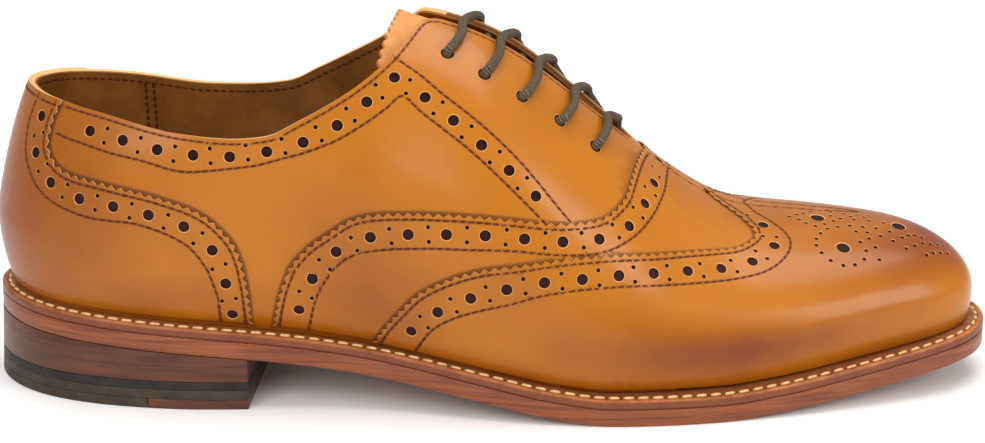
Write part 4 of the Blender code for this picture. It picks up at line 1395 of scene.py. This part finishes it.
# Lace
laceSettings = {
    "radius": 1.4, "turn": 1.65, "sides": 12, "over": -0.9, "wall": 1.85, "bow": 0.9,
    # parts of the way from an eyelet to the facing's edge, and from edge to edge over the slit
    "facing": (0.55, 0.95), "slit": (0.3, 0.7),
    # part of a slanted bar's step taken on each facing; ways past the last eyelet
    "leanNear": 0.28, "leanFar": 0.38, "lastWay": 0.014, "endWay": 0.007, "slitWay": 0.017,
    # mm in y and z from the slit: the lower end goes down through it
    "end": ((-1.0, 1.0), (0.6, 0.4), (1.2, -1.4), (0.8, -3.0)),
}


def laceRoute():
    turn, wall, over = laceSettings["turn"], laceSettings["wall"], laceSettings["over"]
    turns = np.linspace(0, math.pi / 2, 4)
    ways, shares = eyelets[:, 0], eyelets[:, 1]

    def at(way, share, side, height=0.0):
        place = np.array([[way if side < 0 else 2 - way, share]])
        return lifted(place, height)[0]

    def normalOf(way, share, side):
        return normalAt(np.array([[way if side < 0 else 2 - way, share]]))[0]

    def through(k, side, towards, rising):
        # up or down through an eyelet
        centre, normal = at(ways[k], shares[k], side, over), normalOf(ways[k], shares[k], side)
        outer, inner = (v - normal * np.dot(v, normal) for v in towards)
        outer, inner = outer / np.linalg.norm(outer), inner / np.linalg.norm(inner)
        low = [centre + normal * (-wall - turn * math.sin(a)) + inner * turn * (1 - math.cos(a)) for a in turns[::-1]]
        high = [centre + normal * turn * math.sin(a) + outer * turn * (1 - math.cos(a)) for a in turns]
        return low + high if rising else (low + high)[::-1]

    def toFacingEdge(way, share, side, height):
        edgeShare = float(topUp(np.array([way if side < 0 else 2 - way]))[0])
        return [at(way, share + (edgeShare - share) * part, side, height) for part in laceSettings["facing"]]

    def bar(fromWay, fromShare, fromSide, toWay, farShare, toSide, height):
        # along one facing, straight over the slit, along the other facing
        lean = toWay - fromWay
        near = toFacingEdge(fromWay + lean * laceSettings["leanNear"], fromShare, fromSide, height)
        far = toFacingEdge(toWay - lean * laceSettings["leanFar"], farShare, toSide, height)[::-1]
        bow = np.array([0, 0, laceSettings["bow"] if height > 0 else 0.0])
        span = [near[-1] + (far[0] - near[-1]) * part + bow for part in laceSettings["slit"]]
        return near + span + far

    route = []
    last = len(ways) - 1
    for k, way in enumerate(ways):
        if k:
            across = at(ways[k - 1], 1, 1) - at(way, shares[k], 1)
            under = at(way, 1, 1) - at(way, shares[k], 1)
            route += bar(ways[k - 1], shares[k - 1], -1, way, shares[k], 1, over + turn)
            route += through(k, 1, (across, under), False)
            route += bar(way, shares[k], 1, way, shares[k], -1, over - wall - turn)
        overWay = ways[k + 1] if k < last else way + laceSettings["lastWay"]
        across = at(overWay, 1, 1) - at(way, shares[k], -1)
        under = at(way, 1, 1) - at(way, shares[k], -1)
        route += through(k, -1, (across, under), True)
    near = toFacingEdge(ways[last] + laceSettings["endWay"], shares[last], -1, over + turn)
    slit = at(ways[last] + laceSettings["slitWay"], 1, -1)
    return np.array(route + near + [slit + np.array([0, y, z]) for y, z in laceSettings["end"]])


def softPath(points, count):
    # Catmull-Rom through the points, evenly spaced
    points = np.asarray(points)
    padded = np.concatenate([points[:1] * 2 - points[1:2], points, points[-1:] * 2 - points[-2:-1]])
    fine = []
    for k in range(1, len(padded) - 2):
        a, b, c, d = padded[k - 1:k + 3]
        for t in np.linspace(0, 1, 8, endpoint=False):
            second, third = 2 * a - 5 * b + 4 * c - d, 3 * b - a - 3 * c + d
            fine.append(0.5 * (2 * b + (c - a) * t + second * t**2 + third * t**3))
    fine = np.array(fine + [points[-1]])
    run = runAlong(fine)
    return pointsAt(np.linspace(0, run[-1], count), run, fine), run[-1]


def tubeAlong(name, points, radius, sides, material):
    # round cord with rounded ends and a UV map: along, around, in mm
    along = unit(np.gradient(points, axis=0))
    side = np.cross(along[0], (0, 0, 1.0))
    frames = []
    for direction in along:
        side = side - direction * np.dot(side, direction)
        side /= np.linalg.norm(side)
        frames.append((side, np.cross(direction, side)))
    frames = np.array(frames)
    turns = np.arange(sides) / sides * 2 * math.pi
    radii = np.full(len(points), radius)
    for k, share in enumerate((0.45, 0.8, 0.95)):
        radii[k] *= share
        radii[-1 - k] *= share
    verts = (points[:, None] + (frames[:, None, 0] * np.cos(turns)[None, :, None]
                                + frames[:, None, 1] * np.sin(turns)[None, :, None]) * radii[:, None, None])
    count = len(points)
    run = runAlong(points) / mm
    faces, uvs = [], []
    girth = 2 * math.pi * radius / mm
    for k in range(count - 1):
        for n in range(sides):
            after = (n + 1) % sides
            faces.append([k * sides + n, k * sides + after, (k + 1) * sides + after, (k + 1) * sides + n])
            uvs += [(run[k], n / sides * girth), (run[k], (n + 1) / sides * girth),
                    (run[k + 1], (n + 1) / sides * girth), (run[k + 1], n / sides * girth)]
    faces.append(list(range(sides))[::-1])
    faces.append([(count - 1) * sides + n for n in range(sides)])
    uvs += [(0, 0)] * (2 * sides)
    thing = newThing(name, verts.reshape(-1, 3), faces, material)
    thing.data.uv_layers.new(name="cord").data.foreach_set("uv", np.array(uvs, float).ravel())
    return thing


braid = {"slant": 1.25, "pitch": 1.32}    # mm around for each mm along, and between two strands


def makeLaceCotton():
    # braid: two sets of slanted waves crossing; the hollows between strands are painted near-black as shade
    made, nodes, links, shader = newMaterial("lace cotton")
    uv = addNode(nodes, "ShaderNodeUVMap", (-1400, 0), uv_map="cord")
    parts = addNode(nodes, "ShaderNodeSeparateXYZ", (-1200, 0))
    ridge = addMath(nodes, (-400, 0), "MULTIPLY")
    connect(links, [(uv, "UV", parts, 0)])
    for entry, sign in enumerate((1, -1)):
        lean = addMath(nodes, (-1000, 200 * sign), "MULTIPLY_ADD", sign * braid["slant"])
        wave = addMath(nodes, (-800, 200 * sign), "MULTIPLY", 2 * math.pi / braid["pitch"])
        sine = addMath(nodes, (-600, 200 * sign), "SINE")
        connect(links, [(parts, "Y", lean, 0), (parts, "X", lean, 2), (lean, 0, wave, 0), (wave, 0, sine, 0),
                        (sine, 0, ridge, entry)])
    spread = addRange(nodes, (-200, 0), -1, 1)
    mixed = addMix(nodes, (0, 100), srgb(26, 18, 13), srgb(142, 122, 100))
    rough = addRange(nodes, (0, -150), toLow=0.9, toHigh=0.7)
    bump = addNode(nodes, "ShaderNodeBump", (0, -300), Strength=1.0, Distance=0.0006)
    setInputs(shader, {"Specular IOR Level": 0.15})
    connect(links, [
        (ridge, 0, spread, "Value"), (spread, "Result", mixed, "Factor"), (mixed, 2, shader, "Base Color"),
        (spread, "Result", rough, "Value"), (rough, "Result", shader, "Roughness"),
        (spread, "Result", bump, "Height"), (bump, "Normal", shader, "Normal")])
    return made


laceCotton = makeLaceCotton()
path, laceLength = softPath(laceRoute(), 760)
lace = tubeAlong("woven_lace", toRow(path), laceSettings["radius"] * mm, laceSettings["sides"], laceCotton)
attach(lace, "root")
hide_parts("lace")
print("lace run through", round(laceLength), "mm")

# Welt
weltSettings = {
    "stations": 520,
    # inset from the sole's edge, height over the outsole, stain
    "profile": [
        (0.30, 0.3, 1), (0.05, 0.55, 1), (0.0, 1.0, 0.8), (0.0, 2.2, 0.8), (0.12, 2.62, 0.5), (0.45, 2.9, 0),
        (0.9, 3.0, 0), (1.7, 2.98, 0.1), (2.2, 2.80, 0.4), (2.7, 2.62, 0.6), (3.3, 2.62, 0.6), (3.8, 2.8, 0.5),
        (4.3, 2.98, 0.5)],
    # inset past the upper's foot, then heights over the outsole
    "inner": {"inset": 4, "top": 2.98, "bottom": 0.3},
    "grooveFrom": 1,    # inset past which the profile follows the seam
}
weltSeam = [(0, 2.5), (60, 2.9), (200, 3.2), (262, 3.1), (304, 2.5)]    # x, inset of the stitches


def makeWelt():
    count = weltSettings["stations"]
    around = np.arange(count) / count * 2
    way, side = wayAndSide(around)
    rings = []
    for inset, height, _ in weltSettings["profile"]:
        def insetAt(x, inset=inset):
            # the groove follows the seam, the outer lip stays at the edge
            follow = np.clip(smoothColumn(weltSeam, 1, x) / 3.0, 0.75, 1.2)
            return inset * follow if inset > weltSettings["grooveFrom"] else inset + 0 * x

        plan = edgePoint(way, side, insetAt)
        base = edgePoint(way, side, flush)
        rings.append(np.column_stack([plan, soleHeight(base[:, 0]) + lastShape["soleThick"] + height]))
    inner = weltSettings["inner"]
    innerPlan = edgePoint(way, side, lambda x: footInset(x) + inner["inset"])
    base = soleHeight(innerPlan[:, 0]) + lastShape["soleThick"]
    rings += [np.column_stack([innerPlan, base + inner[key]]) for key in ("top", "bottom")]
    points = np.array(rings)
    rows = len(points)
    verts = toRow(points.reshape(-1, 3))
    faces = []
    for row in range(rows):
        after = (row + 1) % rows
        for k in range(count):
            nextK = (k + 1) % count
            faces.append([row * count + k, row * count + nextK, after * count + nextK, after * count + k])
    thing = newThing("stitched_welt", verts, faces, weltLeather, 40)
    stains = [row[2] for row in weltSettings["profile"]] + [0, 1]
    stain = thing.data.attributes.new("stain", "FLOAT", "POINT")
    stain.data.foreach_set("value", np.repeat(stains, count).astype(float))
    return thing


welt = makeWelt()
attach(welt, "root")
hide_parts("welt")

weltThread = {"pitch": 4.3, "half": 1.65, "radius": 0.625, "height": 0.55, "slant": 0.10, "sides": 8, "rings": 5,
              "over": 2.78}


def makeWeltStitches():
    way, side = wayAndSide(np.linspace(0, 2, 4001))
    plan = edgePoint(way, side, lambda x: smoothColumn(weltSeam, 1, x))
    points = np.column_stack([plan, soleHeight(plan[:, 0]) + lastShape["soleThick"] + weltThread["over"]])
    run = runAlong(points)
    count = int(run[-1] / weltThread["pitch"])
    stops = (np.arange(count) + 0.5) * run[-1] / count
    centre = pointsAt(stops, run, points)
    along = unit(pointsAt((stops + 1) % run[-1], run, points) - centre)
    left = unit(np.cross((0, 0, 1.0), along))
    normal = np.cross(along, left)
    cos, sin = math.cos(weltThread["slant"]), math.sin(weltThread["slant"])
    axes = (along * cos + left * sin, left * cos - along * sin, normal)
    sizes = [weltThread[key] * mm for key in ("half", "radius", "height")]
    return placeStitches("welt_stitching", weltThread, toRow(centre), axes, sizes, threadCream)


weltStitches = makeWeltStitches()
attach(weltStitches, "root")
print("welt stitched")

# Sole and heel


layering = {"stretch": (1, 1, 14), "wobble": 0.0012, "line": 0.00022}    # wobble and line in metres


def makeLayered(name, light, dark, roughness, lineGap, lineDepth, coat):
    # edge of stacked leather: tones stretched along the shoe, with thin darker layer lines
    made, nodes, links, shader = newMaterial(name)
    coords = addNode(nodes, "ShaderNodeTexCoord", (-1300, 0))
    stretched = addNode(nodes, "ShaderNodeMapping", (-1100, 0), Scale=layering["stretch"])
    noise = addNode(nodes, "ShaderNodeTexNoise", (-900, 0), Scale=45.0, Detail=6.0, Roughness=0.6)
    parts = addNode(nodes, "ShaderNodeSeparateXYZ", (-900, -300))
    wobble = addMath(nodes, (-700, -300), "MULTIPLY_ADD", layering["wobble"])
    cycle = addMath(nodes, (-500, -300), "PINGPONG", lineGap / 2)
    thin = addRange(nodes, (-300, -300), 0.0, layering["line"], lineDepth, 0.0)
    spread = addRange(nodes, (-500, 0), 0.33, 0.68)
    tone = addMath(nodes, (-100, -100), "SUBTRACT", clamp=True)
    mixed = addMix(nodes, (100, 0), dark, light)
    bump = addNode(nodes, "ShaderNodeBump", (100, -300), Strength=0.25, Distance=bumpDistance)
    setInputs(shader, {"Roughness": roughness, "Coat Weight": coat, "Coat Roughness": 0.3,
                       "Specular IOR Level": 0.25})
    connect(links, [
        (coords, "Object", stretched, "Vector"), (stretched, "Vector", noise, "Vector"),
        (coords, "Object", parts, 0), (noise, "Fac", wobble, 0), (parts, "Z", wobble, 2), (wobble, 0, cycle, 0),
        (cycle, 0, thin, "Value"), (noise, "Fac", spread, "Value"), (spread, "Result", tone, 0),
        (thin, "Result", tone, 1), (tone, 0, mixed, "Factor"), (mixed, 2, shader, "Base Color"),
        (tone, 0, bump, "Height"), (bump, "Normal", shader, "Normal")])
    return made


soleLeather = makeLayered("sole edge leather", srgb(148, 80, 46), srgb(104, 52, 30), 0.4, 0.0031, 0.5, 0.15)
heelLeather = makeLayered("heel stack leather", srgb(102, 56, 36), srgb(68, 36, 24), 0.4, 0.0046, 0.6, 0.12)
bandRubber = makePlainLeather("black band rubber", srgb(48, 44, 42), srgb(34, 31, 30), 0.5, 200.0, 0.1)
heelRubber = makePlainLeather("heel rubber", srgb(70, 60, 50), srgb(54, 46, 39), 0.55, 160.0, 0.15)


def soleLayer(name, ways, bottom, top, insetBottom, insetTop, rounding, material, stations):
    # rings from the underside to the top, with rungs across between the two sides
    first, last = ways
    even = np.linspace(0, 1, stations)
    if last > 0.999:
        ease = (1 - np.cos(even * math.pi)) / 2
    else:
        ease = 1 - np.cos(even * math.pi / 2) if first == 0 else even
    roundBack, roundFront = first == 0, last > 0.999

    def ring(inset, extra, height, rise):
        start = first + (0 if roundBack else extra / mmPerWay)
        end = last - (0 if roundFront else extra / mmPerWay)
        way = start + (end - start) * ease
        sides = [edgePoint(way, np.full(stations, side), lambda x: inset(x) + extra) for side in (-1.0, 1.0)]
        far = sides[1][(1 if roundBack else 0):(stations - 1 if roundFront else stations)][::-1]
        plan = np.concatenate([sides[0], far])
        return toRow(np.column_stack([plan, height(plan[:, 0]) + rise]))

    arc = ((1, 0), (0.29, 0.29), (0, 1))    # parts of the rounding, inward and up
    rings = [ring(insetBottom, rounding * inward, bottom, rounding * up) for inward, up in arc]
    rings += [ring(insetTop, rounding * inward, top, -rounding * up) for inward, up in arc[::-1]]
    size, rows = len(rings[0]), len(rings)
    faces = [[row * size + k, row * size + (k + 1) % size, (row + 1) * size + (k + 1) % size, (row + 1) * size + k]
             for row in range(rows - 1) for k in range(size)]
    far = [size - k + (0 if roundBack else -1) for k in range(stations)]
    if roundBack:
        far[0] = 0
    if roundFront:
        far[-1] = stations - 1
    over = (rows - 1) * size
    for k in range(stations - 1):
        rung = list(dict.fromkeys([k, k + 1, far[k + 1], far[k]]))
        faces.append([over + n for n in rung])
        faces.append(rung[::-1])
    return newThing(name, np.concatenate(rings), faces, material, 40)


def flat(height):
    return lambda x: height + 0 * x


def breastWay(x):
    ways = np.linspace(0, 0.5, 501)
    return float(np.interp(x, edgePoint(ways, np.full(501, -1.0), flush)[:, 0], ways))


flareFade = {"reach": 30, "atBreast": 0.4}    # mm behind the breast in which the flare grows, its part there


def flareAt(z):
    most = lastShape["heelFlare"] * (1 - z / float(soleHeight(0.0)))
    return lambda x: -most * np.clip((lastShape["breastX"] - x) / flareFade["reach"] + flareFade["atBreast"], 0, 1)


breast, seam = breastWay(lastShape["breastX"]), breastWay(lastShape["insertBackX"])
firstTop, secondTop, thirdTop = lastShape["heelLayers"]
stackLevel = float(soleHeight(40.0))
layerGap, seamGap = 0.02, 0.0004    # mm between two layers of the heel, and ways between the top piece's parts
soleLayers = [
    # name, node, slot, material, ways, bottom, top, level of bottom and top for the flare, rounding
    ("outsole_edge", "outsole", "sole_leather", soleLeather, (0, 1), soleHeight,
     lambda x: soleHeight(x) + lastShape["soleThick"] + 0.25, None, None, 0.45),
    ("heel_lifts", "heel_stack", "sole_leather", heelLeather, (0, breast), flat(thirdTop + layerGap),
     lambda x: soleHeight(x) - 0.05, thirdTop, stackLevel, 0.25),
    ("heel_band_strip", "heel_band", "band_rubber", bandRubber, (0, breast), flat(secondTop + layerGap),
     flat(thirdTop - layerGap), secondTop, thirdTop, 0.15),
    ("heel_rubber_block", "heel_rubber", "heel_rubber", heelRubber, (0, breast), flat(firstTop + layerGap),
     flat(secondTop - layerGap), firstTop, secondTop, 0.15),
    ("top_piece_rubber", "top_piece", "heel_rubber", heelRubber, (0, seam - seamGap), flat(0.0), flat(firstTop), 0.0,
     firstTop, 0.3),
    ("top_piece_leather", "top_piece_insert", "sole_leather", heelLeather, (seam + seamGap, breast), flat(0.0),
     flat(firstTop), 0.0, firstTop, 0.3),
]
for name, node, slotName, material, ways, bottom, top, lowLevel, highLevel, rounding in soleLayers:
    flared = lowLevel is not None
    stations = 150 if ways[1] > 0.9 else 60
    layer = soleLayer(name, ways, bottom, top, flareAt(lowLevel) if flared else flush,
                      flareAt(highLevel) if flared else flush, rounding, material, stations)
    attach(layer, "root")
    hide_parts(node)
print("sole and heel built")

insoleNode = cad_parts["insole"]
for slot in insoleNode.material_slots:
    slot.material = insoleLeather

# Floor, light and finish
stageSettings = {"floor": srgb(244, 243, 241), "world": srgb(250, 250, 250), "worldStrength": 0.55}


def makeStage():
    bpy.ops.object.select_all(action="DESELECT")
    bpy.ops.mesh.primitive_plane_add(size=8, location=(0, 0, 0))
    floor = bpy.context.active_object
    floor.name = "floor"
    made, nodes, links, shader = newMaterial("pale floor")
    setInputs(shader, {"Base Color": stageSettings["floor"], "Roughness": 0.6, "Specular IOR Level": 0.2})
    floor.data.materials.append(made)
    world = bpy.data.worlds.new("studio")
    world.use_nodes = True
    background = world.node_tree.nodes["Background"]
    setInputs(background, {"Color": stageSettings["world"], "Strength": stageSettings["worldStrength"]})
    bpy.context.scene.world = world


studioLights = [
    # name, place, aim, width, height, watts
    ("overhead softbox", (0.05, 0.15, 1.25), (0.02, 0.0, 0.03), 1.3, 0.9, 15),
    ("front softbox", (-0.55, -1.15, 0.75), (0.0, 0, 0.05), 0.8, 0.8, 9),
    ("toe softbox", (0.95, -0.65, 0.55), (0.08, 0, 0.04), 0.5, 0.6, 6),
]


def makeLights():
    for name, place, aim, width, height, watts in studioLights:
        lamp = bpy.data.lights.new(name, "AREA")
        lamp.shape = "RECTANGLE"
        lamp.size, lamp.size_y = width, height
        lamp.energy = watts
        thing = bpy.data.objects.new(name, lamp)
        thing.location = place
        thing.rotation_euler = (Vector(aim) - Vector(place)).to_track_quat("-Z", "Y").to_euler()
        bpy.context.scene.collection.objects.link(thing)


makeStage()
makeLights()
bpy.context.scene.view_settings.view_transform = "Standard"
print("stage and lights set")
